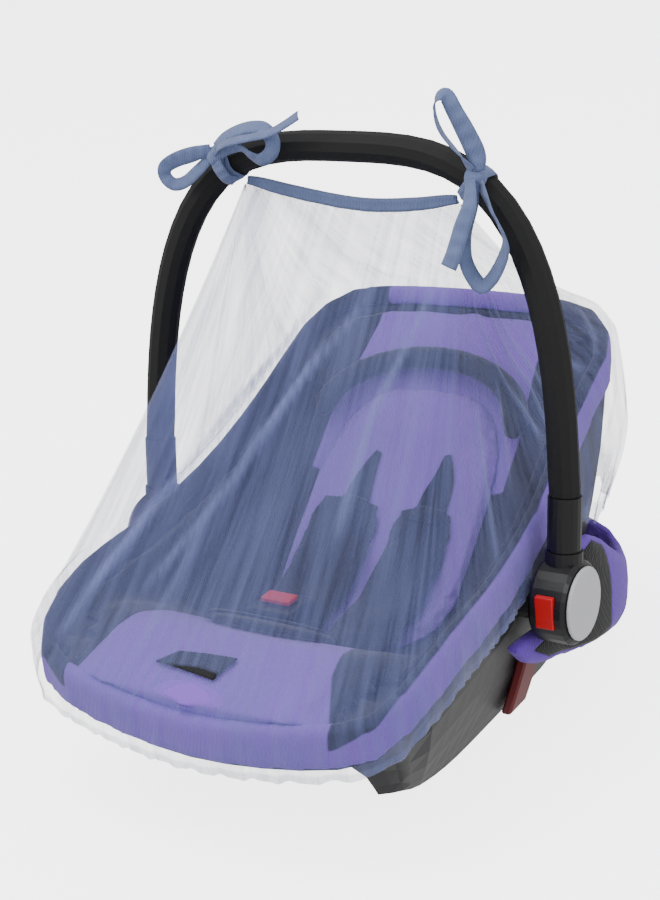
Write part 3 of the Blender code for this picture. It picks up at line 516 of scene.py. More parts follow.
band_cloth = woven("charcoal_and_purple_sleeve", CHARCOAL_HEX, beyond_seam=PURPLE_HEX)
rim_sleeve = soft_copy("rim_band", "rim_sleeve", shrink=0.0006, voxel=0.0036)
finish_soft(rim_sleeve, "rim_band", band_cloth)


# Infant insert, head roll and strap pads: foam in woven polyester, lying in the liner
# and held by the harness that runs through them.
insert_cloth = woven("purple_insert_polyester", "#986CE2")
roll_cloth = woven("charcoal_roll_polyester", "#191A21")
pad_cloth = woven("black_pad_polyester", "#121318")
SOFT_PADS = (
    # node, piece, material, slot, pressure, cap
    ("infant_insert", "insert_cushion", insert_cloth, "purple_fabric", 4.0, 0.004),
    ("head_roll", "head_cushion", roll_cloth, "grey_fabric", 4.0, 0.003),
    ("harness_pad_left", "strap_pad_left", pad_cloth, "grey_fabric", 4.0, 0.003),
    ("harness_pad_right", "strap_pad_right", pad_cloth, "grey_fabric", 4.0, 0.003),
    ("crotch_pad", "crotch_cushion", pad_cloth, "grey_fabric", 4.0, 0.003),
)
for node, name, material, slot, pressure, cap in SOFT_PADS:
    cushion = soft_copy(node, name, shrink=0.0012, voxel=0.0034)
    fill(cushion, pressure, cap)
    finish_soft(cushion, node, material)


# Sun canopy: folded back round the head end, purple polyester outside with a black
# lining that shows in the open fold at each side.
CANOPY_HEM = 0.013
CANOPY_OPEN_END = 0.120
CANOPY_LOW = np.array((
    # along, lower edge
    (-0.056, -0.034),
    (0.000, -0.072),
    (0.036, -0.084),
    (0.100, -0.102),
    (0.145, -0.108),
    (0.272, -0.108),
))
CANOPY_HIGH = np.array((
    # along, upper edge
    (0.024, -0.026),
    (0.036, 0.004),
    (0.060, 0.022),
    (0.100, 0.024),
    (0.145, -0.006),
    (0.195, -0.040),
    (0.272, -0.034),
))


def canopy_seam(x, y, z):
    """How far into the open fold a point lies, where the black lining shows."""
    low = z - np.interp(y, CANOPY_LOW[:, 0], CANOPY_LOW[:, 1])
    high = np.interp(y, CANOPY_HIGH[:, 0], CANOPY_HIGH[:, 1]) - z
    return np.minimum(np.minimum(low, high) - CANOPY_HEM, CANOPY_OPEN_END - y)


canopy_cloth = woven("purple_canopy_polyester", "#6B3FC0", beyond_seam="#0B0B0E")
canopy = soft_copy("folded_canopy", "canopy_roll", shrink=0.0008, voxel=0.0045)
fill(canopy, 3.0, 0.004)
finish_soft(canopy, "folded_canopy", canopy_cloth)


# The foam is let out against its cloth: every filled piece is run at once, and no point
# may go further than its piece's cap. The lining's foot end is stuffed fuller than the rest.
bpy.context.scene.frame_end = FILLING_STEPS
for step in range(1, FILLING_STEPS + 1):
    bpy.context.scene.frame_set(step)
graph = bpy.context.evaluated_depsgraph_get()
blown = []
for piece, cap, start in filled:
    shaped = piece.evaluated_get(graph)
    blown.append(np.array([vert.co for vert in shaped.data.vertices]))
for (piece, cap, start), end in zip(filled, blown):
    piece.modifiers.remove(piece.modifiers["filling"])
    move = end - start
    far = np.linalg.norm(move, axis=1)[:, None]
    end = start + move * np.minimum(1.0, cap / np.maximum(far, 1e-9))
    piece.data.vertices.foreach_set("co", end.ravel())
    piece.data.update()
bpy.context.scene.frame_set(1)


PAD_ALONG = -0.002
PAD_HALF_LENGTH = 0.088
PAD_LIFT = 0.004
STRAP_PADS = (
    # piece, middle of its solid, middle as worn, widening
    ("strap_pad_left", -0.0395, -0.0460, 1.20),
    ("strap_pad_right", 0.0395, 0.0395, 1.04),
)
CROTCH_SHIFT = Vector((0.006, 0.004, 0.011))


def widen_strap_pad(piece, middle, new_middle, widening):
    """Squares up a strap pad's rounded ends and brings it to its full width and place."""
    points = hub_points(piece)
    along = (points[:, 1] - PAD_ALONG) / PAD_HALF_LENGTH
    along = np.clip(np.abs(along), 0.0, 0.93)
    square = (1 - along ** 6) ** (1 / 6) / (1 - along ** 3) ** (1 / 3)
    points[:, 0] = new_middle + (points[:, 0] - middle) * square * widening
    points[:, 2] += PAD_LIFT
    put_points(piece, points)


stuff_foot_end()
for name, middle, new_middle, widening in STRAP_PADS:
    widen_strap_pad(bpy.data.objects[name], middle, new_middle, widening)
bpy.data.objects["crotch_cushion"].data.transform(Matrix.Translation(CROTCH_SHIFT))
cushions = [row[0] for row in filled] + [rim_sleeve]
for piece in cushions:
    finer = piece.modifiers.new("finer", "SUBSURF")
    finer.levels = 1
    finer.render_levels = 1
    make_active(piece)
    bpy.ops.object.modifier_apply(modifier="finer")
    piece.data.shade_smooth()
set_seam(liner, liner_seam)
set_seam(rim_sleeve, band_seam)
set_seam(canopy, canopy_seam)


# Harness straps, the adjuster's flap and the webbing across the crotch pad: flat black
# webbing and cloth that lie on the cushions and end under them.
STRAPS = {
    "shoulder_strap_left": ((-0.040, 0.068, 0.030), (-0.040, 0.090, 0.026), (-0.037, 0.108, 0.016),
                            (-0.033, 0.122, 0.006)),
    "shoulder_strap_right": ((0.043, 0.066, 0.032), (0.044, 0.088, 0.032), (0.046, 0.106, 0.024),
                             (0.043, 0.126, 0.006)),
    "crotch_webbing": ((-0.050, -0.154, 0.012), (-0.018, -0.150, 0.012), (0.020, -0.147, 0.012),
                       (0.060, -0.146, 0.012)),
}
STRAP_WALL = 0.0022
STRAP_CLEARANCE = 0.0008
FLAP_CORNERS = ((-0.045, -0.243), (-0.029, -0.228), (0.028, -0.223), (0.019, -0.249))
FLAP_WALL = 0.0026
FLAP_CLEARANCE = 0.0022


def resting_height(across, along, pieces):
    """Height of the highest cushion under a place."""
    top = -1.0
    for tree_under in pieces:
        hit = tree_under.ray_cast(Vector((across, along + HINGE[1], 0.5)), Vector((0, 0, -1)))[0]
        if hit is not None:
            top = max(top, hit.z)
    return top


def thin_sheet(name, grid, wall, material):
    """A thin sheet from rows of points, given its thickness upwards."""
    rows, columns = len(grid), len(grid[0])
    mesh = bpy.data.meshes.new(name)
    faces = []
    for k in range(rows - 1):
        for j in range(columns - 1):
            low = k * columns + j
            faces.append((low, low + 1, low + columns + 1, low + columns))
    mesh.from_pydata([tuple(map(float, point)) for row in grid for point in row], [], faces)
    made = bpy.data.objects.new(name, mesh)
    bpy.context.scene.collection.objects.link(made)
    shape = bmesh.new()
    shape.from_mesh(mesh)
    shape.normal_update()
    if sum(face.normal.z for face in shape.faces) < 0:
        bmesh.ops.reverse_faces(shape, faces=shape.faces)
    shape.to_mesh(mesh)
    shape.free()
    make_active(made)
    body = made.modifiers.new("body", "SOLIDIFY")
    body.thickness = wall
    body.offset = 1.0
    bpy.ops.object.modifier_apply(modifier="body")
    soft_edge = made.modifiers.new("edge", "BEVEL")
    soft_edge.width = wall * 0.4
    soft_edge.segments = 2
    soft_edge.angle_limit = math.radians(50)
    bpy.ops.object.modifier_apply(modifier="edge")
    mesh.shade_smooth()
    mesh.materials.append(material)
    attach(made, "root")
    return made


surfaces = []
for piece in cushions:
    surfaces.append(BVHTree.FromPolygons([vert.co.copy() for vert in piece.data.vertices],
                                         [tuple(face.vertices) for face in piece.data.polygons]))
for name, rows in STRAPS.items():
    table = smooth_curve(rows, 26)
    run = np.gradient(table[:, :2], axis=0)
    run /= np.linalg.norm(run, axis=1)[:, None]
    grid = []
    for (x, y, width), (run_x, run_y) in zip(table, run):
        row = []
        for share in np.linspace(-0.5, 0.5, 7):
            a, b = x + run_y * width * share, y - run_x * width * share
            row.append((a, b + HINGE[1], resting_height(a, b, surfaces) + STRAP_CLEARANCE))
        grid.append(row)
    strap = thin_sheet(name, grid, STRAP_WALL, pad_cloth)
corners = np.array(FLAP_CORNERS)
grid = []
for u in np.linspace(0.0, 1.0, 13):
    row = []
    for v in np.linspace(0.0, 1.0, 9):
        near = corners[0] * (1 - u) + corners[3] * u
        far = corners[1] * (1 - u) + corners[2] * u
        a, b = near * (1 - v) + far * v
        row.append((a, b + HINGE[1], resting_height(a, b, surfaces) + FLAP_CLEARANCE))
    grid.append(row)
flap = thin_sheet("adjuster_flap", grid, FLAP_WALL, pad_cloth)


# Handle: a steel tube in a foam sleeve, on bare moulded legs that turn in the hubs. The
# hubs are moulded drums, each with a bare pale cap and a red release button.
foam = moulded("black_foam_rubber", "#0C0C0E", 0.75, 1.1, 0.0005)
leg_plastic = moulded("black_nylon", "#0B0B0D", 0.32, 2.0, 0.0001)
hub_plastic = moulded("black_polypropylene", "#0E0E11", 0.38, 1.6, 0.0002)
cap_plastic = moulded("pale_grey_abs", "#CFCFD4", 0.35, 2.0, 0.0001)
button_plastic = moulded("red_abs", "#D80F18", 0.30, 2.0, 0.0001)
HARD_FINISHES = (
    # node, material
    ("handle_bar", foam),
    ("handle_leg_left", leg_plastic),
    ("handle_leg_right", leg_plastic),
    ("hub_left", hub_plastic),
    ("hub_right", hub_plastic),
    ("hub_cap_left", cap_plastic),
    ("hub_cap_right", cap_plastic),
    ("release_button_left", button_plastic),
    ("release_button_right", button_plastic),
    ("buckle", hub_plastic),
    ("buckle_press", button_plastic),
    ("crotch_strap", pad_cloth),
)
for node, material in HARD_FINISHES:
    dress(node, material)


# Net: polyester mosquito net cut in one piece, gathered under the tape and stretched
# over the rim, where the elastic in its hem draws it in.
RIDGE = (
    # across, along, height
    (-0.108, 0.056, 0.3455),
    (-0.060, 0.058, 0.3340),
    (0.010, 0.059, 0.3250),
    (0.070, 0.058, 0.3280),
    (0.114, 0.055, 0.3370),
)
SKIRT = (
    # along, drop below the rim, pull inwards at the hem
    (-0.275, 0.047, 0.003),
    (-0.060, 0.046, 0.003),
    (0.030, 0.045, 0.003),
    (0.080, 0.058, 0.004),
    (0.120, 0.092, 0.006),
    (0.180, 0.150, 0.012),
    (0.230, 0.165, 0.020),
    (0.295, 0.175, 0.032),
)
NET_HEX = "#808CCE"
NET_COVER = 0.155
NET_HOLE_MM = 1.5
NET_AROUND = 432
NET_DOWN = 44
SKIRT_DOWN = 16
NET_SAG = 0.014
NET_CLEARANCE = 0.0044
NET_THICKNESS = 0.0007
RIDGE_HALF_WIDTH = 0.003
# Creases drawn tight between the tape and the rim: rise, breadth as a share of the rim,
# extra cover along the crease, partly the denser folded net and partly painted sheen, and points as share
# down, share round
PULLS = (
    (0.0020, 0.0045, 0.10, ((0.08, 0.092), (0.35, 0.059), (0.62, 0.056))),
    (0.0020, 0.0045, 0.08, ((0.10, 0.040), (0.28, 0.003), (0.48, -0.024))),
    (0.0020, 0.0040, 0.08, ((0.10, 0.000), (0.32, -0.031), (0.40, -0.036))),
    (0.0025, 0.0050, 0.11, ((0.18, -0.012), (0.57, -0.062), (0.85, -0.083))),
    (0.0025, 0.0045, 0.09, ((0.20, 0.012), (0.40, -0.010), (0.80, -0.052))),
    (0.0020, 0.0045, 0.08, ((0.60, -0.066), (0.80, -0.080), (1.00, -0.090))),
    (0.0015, 0.0040, 0.07, ((0.58, -0.028), (0.80, -0.035), (0.95, -0.038))),
    (0.0025, 0.0045, 0.11, ((0.12, 0.205), (0.38, 0.250), (0.65, 0.281), (0.88, 0.293))),
    (0.0020, 0.0040, 0.09, ((0.20, 0.284), (0.60, 0.314), (0.75, 0.318))),
    (0.0020, 0.0040, 0.09, ((0.18, 0.262), (0.62, 0.302), (0.90, 0.302))),
    (0.0020, 0.0040, 0.08, ((0.40, 0.252), (0.85, 0.236))),
    (0.0020, 0.0045, 0.10, ((0.45, 0.198), (0.82, 0.208), (1.00, 0.212))),
    (0.0020, 0.0045, 0.09, ((0.72, 0.402), (1.00, 0.366))),
    (0.0020, 0.0040, 0.08, ((0.78, 0.350), (1.00, 0.358))),
    (0.0060, 0.0160, 0.06, ((-0.10, 0.905), (0.10, 0.934), (0.24, 0.955), (0.50, 0.960))),
    (0.0030, 0.0080, 0.05, ((-0.10, 0.913), (0.17, 0.913), (0.45, 0.908))),
    (0.0040, 0.0140, 0.03, ((-0.05, 0.560), (0.50, 0.560), (1.05, 0.560))),
    (0.0040, 0.0120, 0.03, ((-0.05, 0.655), (0.50, 0.650), (1.05, 0.640))),
    (0.0040, 0.0120, 0.03, ((-0.05, 0.745), (0.50, 0.740), (1.05, 0.735))),
    (0.0040, 0.0120, 0.03, ((-0.05, 0.830), (0.50, 0.835), (1.05, 0.845))),
    (0.0040, 0.0140, 0.03, ((-0.05, 0.420), (0.50, 0.425), (1.05, 0.430))),
    (0.0030, 0.0100, 0.02, ((0.05, 0.150), (0.50, 0.145), (1.05, 0.135))),
)
# gain on the creases' extra cover, which paints the tight creases' sheen as bright lines
PULL_SHEEN = 2.4
PULL_NARROWING = 0.62
HEM_COVER = 0.14
HEM_SHARE = 0.82
GATHER_COVER = 0.05
GATHER_DEPTH = 0.12
STREAKS_ROUND = 190
STREAKS_DOWN = 2.5


def ridge_point(across):
    """The ridge under the tape at a place across the seat."""
    rows = np.array(RIDGE)
    line = smooth_curve(rows, 60)
    x = np.clip(across, rows[0, 0], rows[-1, 0])
    return np.stack([x, np.interp(x, line[:, 0], line[:, 1]), np.interp(x, line[:, 0], line[:, 2])], -1)


def tube_faces(rings, around, start=0, closed=False):
    """Faces between rings of points that follow each other in a list."""
    faces = []
    for k in range(rings if closed else rings - 1):
        low, high = start + k * around, start + (k + 1) % rings * around
        for j in range(around):
            after = (j + 1) % around
            faces.append((low + j, low + after, high + after, high + j))
    return faces


def sheet_object(name, points, faces):
    """A mesh piece from points and faces."""
    mesh = bpy.data.meshes.new(name)
    mesh.from_pydata([tuple(map(float, point)) for point in points], [], faces)
    mesh.update()
    made = bpy.data.objects.new(name, mesh)
    bpy.context.scene.collection.objects.link(made)
    mesh.shade_smooth()
    return made


def crease(shares, t, points, breadth):
    """How much of a crease there is at a share of the way down, for each share round."""
    downs = [down for down, around in points]
    arounds = [around for down, around in points]
    inside = np.clip((t - downs[0]) / 0.08, 0.0, 1.0) * np.clip((downs[-1] - t) / 0.08, 0.0, 1.0)
    away = (shares - np.interp(t, downs, arounds) + 0.5) % 1.0 - 0.5
    return inside * np.exp(-(away / breadth) ** 2)


def net_rings():
    """Rings of the net from the ridge to the rim and down its skirt, and their extra cover, with painted
    sheen along the creases.
    """
    quarter = NET_AROUND // 4
    line = np.roll(rim_line(NET_AROUND), -quarter, axis=0)
    out = outward(line)
    shares = (np.arange(NET_AROUND) / NET_AROUND + 0.25) % 1.0
    edge_top = line + out * -0.003
    edge_top[:, 2] += NET_CLEARANCE
    left, right = RIDGE[0][0], RIDGE[-1][0]
    spread = np.clip(line[:, 0] / 0.17, -1.0, 1.0)
    start = ridge_point((left + right) / 2 + spread * (right - left) / 2)
    around = np.stack([np.where(np.abs(spread) < 1, 0.0, out[:, 0]), out[:, 1], out[:, 0] * 0], 1)
    around /= np.linalg.norm(around, axis=1)[:, None]
    start = start + around * RIDGE_HALF_WIDTH
    pleat = np.sin(math.tau * (96 * shares + 0.7 * np.sin(14 * math.pi * shares)))
    rings, covers = [], []
    for k in range(NET_DOWN + 1):
        t = k / NET_DOWN
        ring = start + (edge_top - start) * t ** 0.9
        ring[:, 2] -= NET_SAG * 4 * t ** 0.9 * (1 - t ** 0.9)
        slack = math.sin(math.pi * t) ** 0.7 if 0 < k < NET_DOWN else 0.0
        cover = GATHER_COVER * (1 + pleat) / 2 * max(1 - t / GATHER_DEPTH, 0.0)
        for rise, breadth, extra, points in PULLS:
            amount = crease(shares, t, points, breadth)
            ring = ring + (out + (0, 0, 1)) * math.sqrt(0.5) * rise * slack * amount[:, None]
            # the creases' extra cover is partly their denser folded net and partly painted sheen
            cover = cover + extra * PULL_SHEEN * crease(shares, t, points, breadth * PULL_NARROWING)
        rings.append(ring)
        covers.append(cover)
    table = np.array(SKIRT)
    drop = np.interp(line[:, 1], table[:, 0], table[:, 1])
    pull = np.interp(line[:, 1], table[:, 0], table[:, 2])
    deep = np.clip((drop - 0.05) / 0.1, 0.0, 1.0)
    wave = (1 + np.sin(math.tau * (46 * shares + 0.6 * np.sin(6 * math.pi * shares)))) / 2
    fine = (1 + np.sin(math.tau * (103 * shares + 0.9 * np.sin(10 * math.pi * shares)))) / 2
    for k in range(1, SKIRT_DOWN + 1):
        fall = k / SKIRT_DOWN
        bulge = NET_CLEARANCE + 0.006 * deep * math.sin(math.pi * min(fall * 1.1, 1.0))
        ruffle = (wave * 0.0042 + fine * 0.0022) * fall
        reach = bulge + ruffle - pull * max(fall - 0.5, 0.0) / 0.5 * fall
        ring = line + out * reach[:, None]
        hem_wave = 0.006 * fall ** 2 * (wave - 0.5)
        ring[:, 2] = line[:, 2] + NET_CLEARANCE * (1 - fall) ** 3 - 0.002 - (drop - 0.002) * fall + hem_wave
        rings.append(ring)
        gathered = (0.035 * wave + 0.03 * fine) * fall
        covers.append(gathered + (HEM_COVER if fall >= HEM_SHARE else 0.0))
    return [ring + HINGE for ring in rings], covers


rings, covers = net_rings()
net_points = np.vstack(rings)
net_faces = [(a, d, c, b) for a, b, c, d in tube_faces(len(rings), NET_AROUND)]
# the ridge is closed by joining its two sides
for j in range(1, NET_AROUND // 2 - 1):
    net_faces.append((j, j + 1, NET_AROUND - j - 1, NET_AROUND - j))
net_faces.append((0, 1, NET_AROUND - 1))
net_faces.append((NET_AROUND // 2 - 1, NET_AROUND // 2, NET_AROUND // 2 + 1))


def net_material():
    """Knitted mosquito net: threads of pale blue-lilac polyester with open holes between.

    The real holes of about 1 mm are drawn a little wider and soft, so that they don't
    flicker. Drawn-out threads show as faint lines from the tape to the rim.
    """
    made, tree, shader = new_material("mosquito_net")
    place = add(tree, "ShaderNodeTexCoord").outputs["Object"]
    cloudy = add(tree, "ShaderNodeTexNoise", Vector=place, Scale=9.0, Detail=3.0)
    along = add(tree, "ShaderNodeAttribute", {"attribute_name": "net_place"}).outputs["Vector"]
    drawn = add(tree, "ShaderNodeTexNoise", Vector=along, Scale=1.0, Detail=4.0, Roughness=0.6)
    # extra cover from the gathers, the hem and the creases; along the creases it is partly painted sheen
    cover_and_sheen = add(tree, "ShaderNodeAttribute", {"attribute_name": "cover_and_sheen"}).outputs["Fac"]
    weave = cloth_weave(tree, place, NET_HOLE_MM)
    density = add(tree, "ShaderNodeMapRange", Value=cloudy.outputs["Fac"], From_Min=0.3, From_Max=0.7,
                  To_Min=NET_COVER - 0.025, To_Max=NET_COVER + 0.025)
    streaks = add(tree, "ShaderNodeMapRange", Value=drawn.outputs["Fac"], From_Min=0.35, From_Max=0.7,
                  To_Min=-0.05, To_Max=0.09)
    threads = add(tree, "ShaderNodeMapRange", Value=weave, From_Max=2.0, To_Min=-0.03, To_Max=0.03)
    alpha = math_node(tree, "ADD", density.outputs["Result"], threads.outputs["Result"])
    alpha = math_node(tree, "ADD", alpha, streaks.outputs["Result"])
    alpha = math_node(tree, "ADD", alpha, cover_and_sheen)
    wire(tree, shader, Alpha=alpha, Base_Color=linear(NET_HEX), Roughness=0.6, Sheen_Weight=0.5)
    return made


net = sheet_object("mosquito_net_cover", net_points, net_faces)
# extra cover of the gathers, hem and creases, the creases' share partly painted sheen
cover_and_sheen = net.data.attributes.new("cover_and_sheen", "FLOAT", "POINT")
cover_and_sheen.data.foreach_set("value", np.concatenate(covers).astype(np.float32))
# the streaks' pattern goes round as a circle, so that it meets itself without a step
streak_radius = STREAKS_ROUND / math.tau
turns = np.arange(NET_AROUND) / NET_AROUND * math.tau
net_place = np.array([
    (math.cos(turn) * streak_radius, math.sin(turn) * streak_radius, k / NET_DOWN * STREAKS_DOWN)
    for k in range(len(rings)) for turn in turns])
placed = net.data.attributes.new("net_place", "FLOAT_VECTOR", "POINT")
placed.data.foreach_set("vector", net_place.astype(np.float32).ravel())
make_active(net)
wall = net.modifiers.new("thickness", "SOLIDIFY")
wall.thickness = NET_THICKNESS
wall.offset = -1.0
bpy.ops.object.modifier_apply(modifier="thickness")
net.data.materials.append(net_material())
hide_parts("net_cover")
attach(net, "root")


# Tape: woven binding folded over the gathered top of the net and stitched along its
# lower edge; its two ends run on into the ties.
TAPE_HEX = "#6C7CAA"
TAPE_HEIGHT = 0.0125
TAPE_HALF_WALL = 0.0016


def tangents(path):
    """Unit directions along a path."""
    run = np.gradient(np.asarray(path, float), axis=0)
    return run / np.linalg.norm(run, axis=1)[:, None]


def swept(path, sections, widths, sides):
    """Points and faces of a cross-section carried along a path, with closed ends."""
    points = []
    for place, section, width, side in zip(path, sections, widths, sides):
        points += [place + width * a + side * b for a, b in section]
    count = len(sections[0])
    faces = tube_faces(len(path), count)
    faces.append(tuple(range(count))[::-1])
    faces.append(tuple(range((len(path) - 1) * count, len(path) * count)))
    return points, faces


def tape_material():
    """Twill tape: pale blue polyester with fine slanting ribs, slightly shiny."""
    made, tree, shader = new_material("woven_binding_tape")
    place = add(tree, "ShaderNodeTexCoord").outputs["Object"]
    weave = cloth_weave(tree, place, 1.8)
    cloudy = add(tree, "ShaderNodeTexNoise", Vector=place, Scale=60.0, Detail=3.0)
    colour = clouded(tree, TAPE_HEX, cloudy, 0.8, 1.15)
    bump = add(tree, "ShaderNodeBump", Strength=0.5, Distance=0.0005, Height=weave)
    wire(tree, shader, Base_Color=colour, Normal=bump.outputs[0], Roughness=0.7, Sheen_Weight=0.25)
    return made


tape_cloth = tape_material()
tape_rows = smooth_curve(RIDGE, 72) + HINGE
run = tangents(tape_rows)
ups = np.tile((0.0, 0.0, 1.0), (len(tape_rows), 1))
widths = np.cross(ups, run)
widths /= np.linalg.norm(widths, axis=1)[:, None]
ups = np.cross(run, widths)
sections = []
for k in range(len(tape_rows)):
    share = k / (len(tape_rows) - 1)
    end = abs(2 * share - 1)
    height = TAPE_HEIGHT * (1 - 0.35 * end ** 6)
    bend = 0.0003 * math.sin(40 * share) + 0.0002 * math.sin(97 * share)
    half = TAPE_HALF_WALL
    sections.append((
        (-half + bend, 0.0004),
        (half + bend, 0.0004),
        (half * 0.9 + bend, height * 0.3),
        (half * 0.45, height * 0.5),
        (half * 0.9, height * 0.7),
        (half * 0.7, height),
        (-half * 0.7, height),
        (-half * 0.9, height * 0.7),
        (-half * 0.45, height * 0.5),
        (-half * 0.9 + bend, height * 0.3),
    ))
points, faces = swept(tape_rows, sections, widths, ups)
tape = sheet_object("ridge_tape", points, faces)
tape.data.materials.append(tape_cloth)
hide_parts("top_binding")
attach(tape, "root")


# Ties: the same tape, wrapped once round the foam and tied in a loose bow. Each strip is
# flat tape with a soft edge that twists as it hangs.
HANDLE_HALF_SPAN = 0.2205
HANDLE_RISE = 0.388
HANDLE_LEAN = math.radians(9.0)
BAR_RADIUS = 0.014
TIE_WALL = 0.0011
TIE_FLATTENING = 1.22
TIE_IN_KNOT = 0.10
WRAP_WALL = 0.0012
WRAP_HALF_WIDTH = 0.0058
WRAP_STEPS = 48
KNOT_FORWARD = 0.0075
KNOT_HALF_SIZE = (0.0100, 0.0072, 0.0100)
KNOT_ROWS = 14
KNOT_TURNS = 24
TIE_RIGHT_KNOT = (0.143, 0.035, 0.368)
TIE_RIGHT_STRIPS = (
    (  # upper loop
        # each row: across, along, height, width, turn
        (0.141, 0.034, 0.373, 0.007, 20),
        (0.130, 0.033, 0.387, 0.011, 65),
        (0.117, 0.031, 0.404, 0.011, 72),
        (0.112, 0.030, 0.419, 0.011, 68),
        (0.113, 0.031, 0.433, 0.011, 60),
        (0.121, 0.034, 0.436, 0.011, 40),
        (0.129, 0.034, 0.422, 0.012, 15),
        (0.139, 0.034, 0.403, 0.015, 0),
        (0.146, 0.034, 0.387, 0.015, 0),
        (0.148, 0.034, 0.373, 0.009, 0),
    ),
    (  # lower loop
        (0.144, 0.031, 0.363, 0.007, 20),
        (0.142, 0.025, 0.343, 0.011, 50),
        (0.136, 0.022, 0.320, 0.011, 55),
        (0.136, 0.021, 0.298, 0.011, 60),
        (0.143, 0.021, 0.282, 0.011, 45),
        (0.151, 0.021, 0.276, 0.011, 30),
        (0.163, 0.021, 0.287, 0.011, 25),
        (0.174, 0.021, 0.308, 0.011, 35),
        (0.173, 0.022, 0.322, 0.011, 50),
        (0.162, 0.025, 0.341, 0.011, 50),
        (0.148, 0.033, 0.363, 0.008, 20),
    ),
    (  # tail
        (0.141, 0.030, 0.366, 0.008, 0),
        (0.1445, 0.019, 0.347, 0.011, 0),
        (0.1395, 0.012, 0.329, 0.012, 0),
        (0.134, 0.005, 0.308, 0.012, 0),
        (0.130, 0.001, 0.297, 0.012, 0),
    ),
    (  # front strand
        (0.140, 0.034, 0.362, 0.010, 0),
        (0.133, 0.036, 0.355, 0.010, 0),
        (0.1265, 0.040, 0.3480, 0.010, 0),
        (0.1220, 0.0495, 0.3440, 0.009, 0),
    ),
)
TIE_LEFT_KNOT = (-0.129, 0.036, 0.379)
TIE_LEFT_STRIPS = (
    (  # left loop
        (-0.131, 0.037, 0.382, 0.008, 0),
        (-0.149, 0.031, 0.378, 0.012, 10),
        (-0.166, 0.028, 0.373, 0.012, 20),
        (-0.178, 0.026, 0.366, 0.011, 30),
        (-0.179, 0.026, 0.357, 0.010, 40),
        (-0.171, 0.027, 0.350, 0.010, 30),
        (-0.160, 0.030, 0.352, 0.010, 20),
        (-0.148, 0.033, 0.361, 0.010, 20),
        (-0.135, 0.036, 0.372, 0.008, 10),
    ),
    (  # right loop
        (-0.124, 0.035, 0.384, 0.008, 20),
        (-0.112, 0.033, 0.393, 0.011, 35),
        (-0.096, 0.032, 0.401, 0.011, 45),
        (-0.080, 0.032, 0.405, 0.011, 50),
        (-0.066, 0.032, 0.404, 0.011, 50),
        (-0.057, 0.031, 0.393, 0.011, 25),
        (-0.060, 0.030, 0.382, 0.011, 10),
        (-0.071, 0.029, 0.376, 0.010, 20),
        (-0.082, 0.029, 0.380, 0.010, 35),
        (-0.092, 0.030, 0.386, 0.010, 40),
        (-0.106, 0.031, 0.385, 0.010, 30),
        (-0.122, 0.034, 0.378, 0.008, 10),
    ),
    (  # tail
        (-0.126, 0.036, 0.380, 0.007, 40),
        (-0.107, 0.025, 0.390, 0.007, 50),
        (-0.080, 0.024, 0.397, 0.008, 50),
        (-0.058, 0.026, 0.401, 0.008, 50),
        (-0.042, 0.028, 0.408, 0.008, 45),
        (-0.026, 0.030, 0.417, 0.008, 40),
    ),
    (  # front strand
        (-0.127, 0.036, 0.374, 0.010, 0),
        (-0.122, 0.033, 0.366, 0.010, 0),
        (-0.118, 0.038, 0.355, 0.010, 0),
        (-0.1145, 0.047, 0.3500, 0.009, 0),
    ),
)
TIES = (
    ("tie_right", TIE_RIGHT_KNOT, TIE_RIGHT_STRIPS),
    ("tie_left", TIE_LEFT_KNOT, TIE_LEFT_STRIPS),
)


def handle_point(share):
    """A point of the handle's centre line, from one foot (0) to the other (1)."""
    turn = math.pi * (1 - share)
    across = math.copysign(abs(math.cos(turn)) ** (2 / 3.31), math.cos(turn))
    up = max(math.sin(turn), 0.0) ** (2 / 3.02)
    x, rise = across * HANDLE_HALF_SPAN, up * HANDLE_RISE
    return np.array([x, rise * math.sin(HANDLE_LEAN), rise * math.cos(HANDLE_LEAN)])


def strip_shape(rows):
    """A flat strip of tape along given points, its edges a little rounded."""
    table = smooth_curve(rows, 8 * len(rows))
    path = table[:, :3]
    run = tangents(path)
    front = np.array([0.0, -1.0, 0.0])
    facing = front - run * (run @ front)[:, None]
    facing /= np.linalg.norm(facing, axis=1)[:, None]
    flat = np.cross(run, facing)
    turn = np.radians(table[:, 4])[:, None]
    widths = flat * np.cos(turn) + facing * np.sin(turn)
    sides = np.cross(run, widths)
    sections = []
    for k, width in enumerate(table[:, 3] * TIE_FLATTENING):
        a, b = width / 2, TIE_WALL / 2
        dip = 0.0006 * math.sin(0.9 * k)
        sections.append((
            (-a, -b), (-a * 0.4, -b + dip), (0.0, -b - 0.0004 + dip), (a * 0.4, -b + dip), (a, -b),
            (a, b), (a * 0.4, b + dip), (0.0, b - 0.0004 + dip), (-a * 0.4, b + dip), (-a, b),
        ))
    return swept(path, sections, widths, sides)


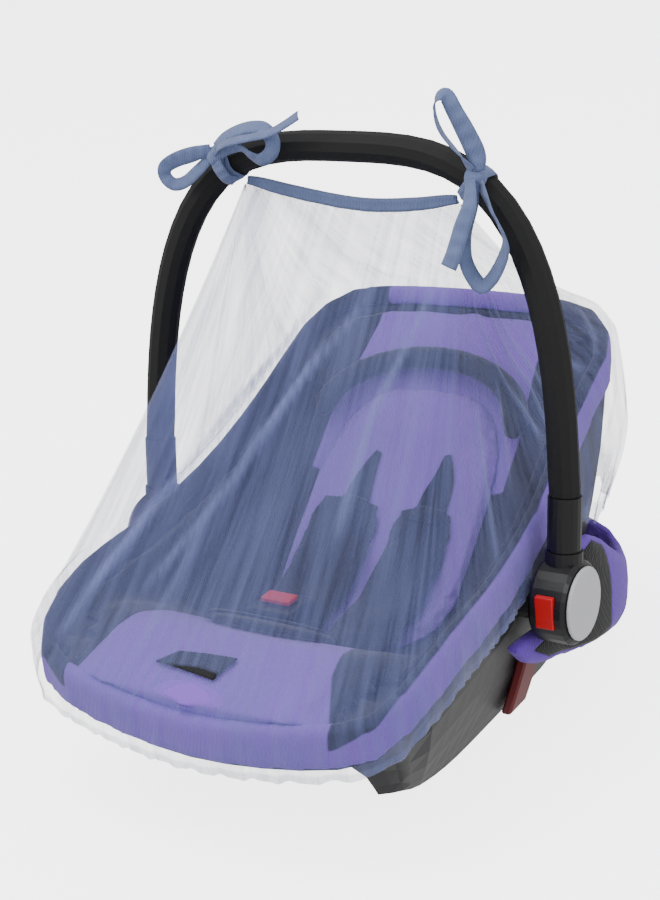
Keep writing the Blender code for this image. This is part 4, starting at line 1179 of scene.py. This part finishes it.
def knot_shape(centre, along, towards):
    """The wrap round the foam and the pinched knot on its front."""
    other = np.cross(along, towards)
    inner = BAR_RADIUS + 0.0006
    outer = inner + WRAP_WALL
    rings = []
    for k in range(WRAP_STEPS):
        angle = math.tau * k / WRAP_STEPS
        out = towards * math.cos(angle) + other * math.sin(angle)
        half = along * (WRAP_HALF_WIDTH + 0.0006 * math.sin(5 * angle))
        middle = centre + out * (inner + outer + 0.0008) / 2
        rings.append([centre + out * inner - half, centre + out * inner + half, centre + out * outer + half,
                      middle + out * 0.0006, centre + out * outer - half])
    faces = tube_faces(WRAP_STEPS, 5, closed=True)
    points = [point for ring in rings for point in ring]
    start = len(points)
    knot = centre + towards * (inner + KNOT_FORWARD)
    length, depth, breadth = KNOT_HALF_SIZE
    for i in range(KNOT_ROWS + 1):
        level = -math.cos(math.pi * i / KNOT_ROWS)
        spread = math.sin(math.pi * i / KNOT_ROWS)
        for j in range(KNOT_TURNS):
            angle = math.tau * j / KNOT_TURNS
            pleat = 1.0 + 0.07 * math.sin(3 * angle + 6 * level) + 0.05 * math.sin(7 * angle)
            points.append(knot + along * length * level
                          + towards * depth * spread * pleat * math.cos(angle)
                          + other * breadth * spread * pleat * math.sin(angle))
    return points, faces + tube_faces(KNOT_ROWS + 1, KNOT_TURNS, start)


def strip_length(rows):
    """Length of a strip along its middle."""
    table = smooth_curve(rows, 60)
    return float(np.linalg.norm(np.diff(table[:, :3], axis=0), axis=1).sum())


for name, knot_side, strips in TIES:
    dense = np.array([handle_point(k / 800) for k in range(801)])
    nearest = int(np.argmin(np.linalg.norm(dense - np.array(knot_side), axis=1)))
    centre = dense[nearest]
    along = dense[nearest + 3] - dense[nearest - 3]
    along /= np.linalg.norm(along)
    towards = np.array(knot_side) - centre
    towards -= along * (towards @ along)
    towards /= np.linalg.norm(towards)
    points, faces = knot_shape(centre, along, towards)
    whole = TIE_IN_KNOT
    for rows in strips:
        more_points, more_faces = strip_shape(rows)
        faces += [tuple(len(points) + index for index in face) for face in more_faces]
        points += more_points
        whole += strip_length(rows)
    tie = sheet_object("bow_" + name, np.array(points) + HINGE, faces)
    shape = bmesh.new()
    shape.from_mesh(tie.data)
    bmesh.ops.remove_doubles(shape, verts=shape.verts, dist=0.00001)
    bmesh.ops.recalc_face_normals(shape, faces=shape.faces)
    shape.to_mesh(tie.data)
    shape.free()
    tie.data.shade_smooth()
    tie.data.materials.append(tape_cloth)
    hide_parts(name)
    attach(tie, "root")
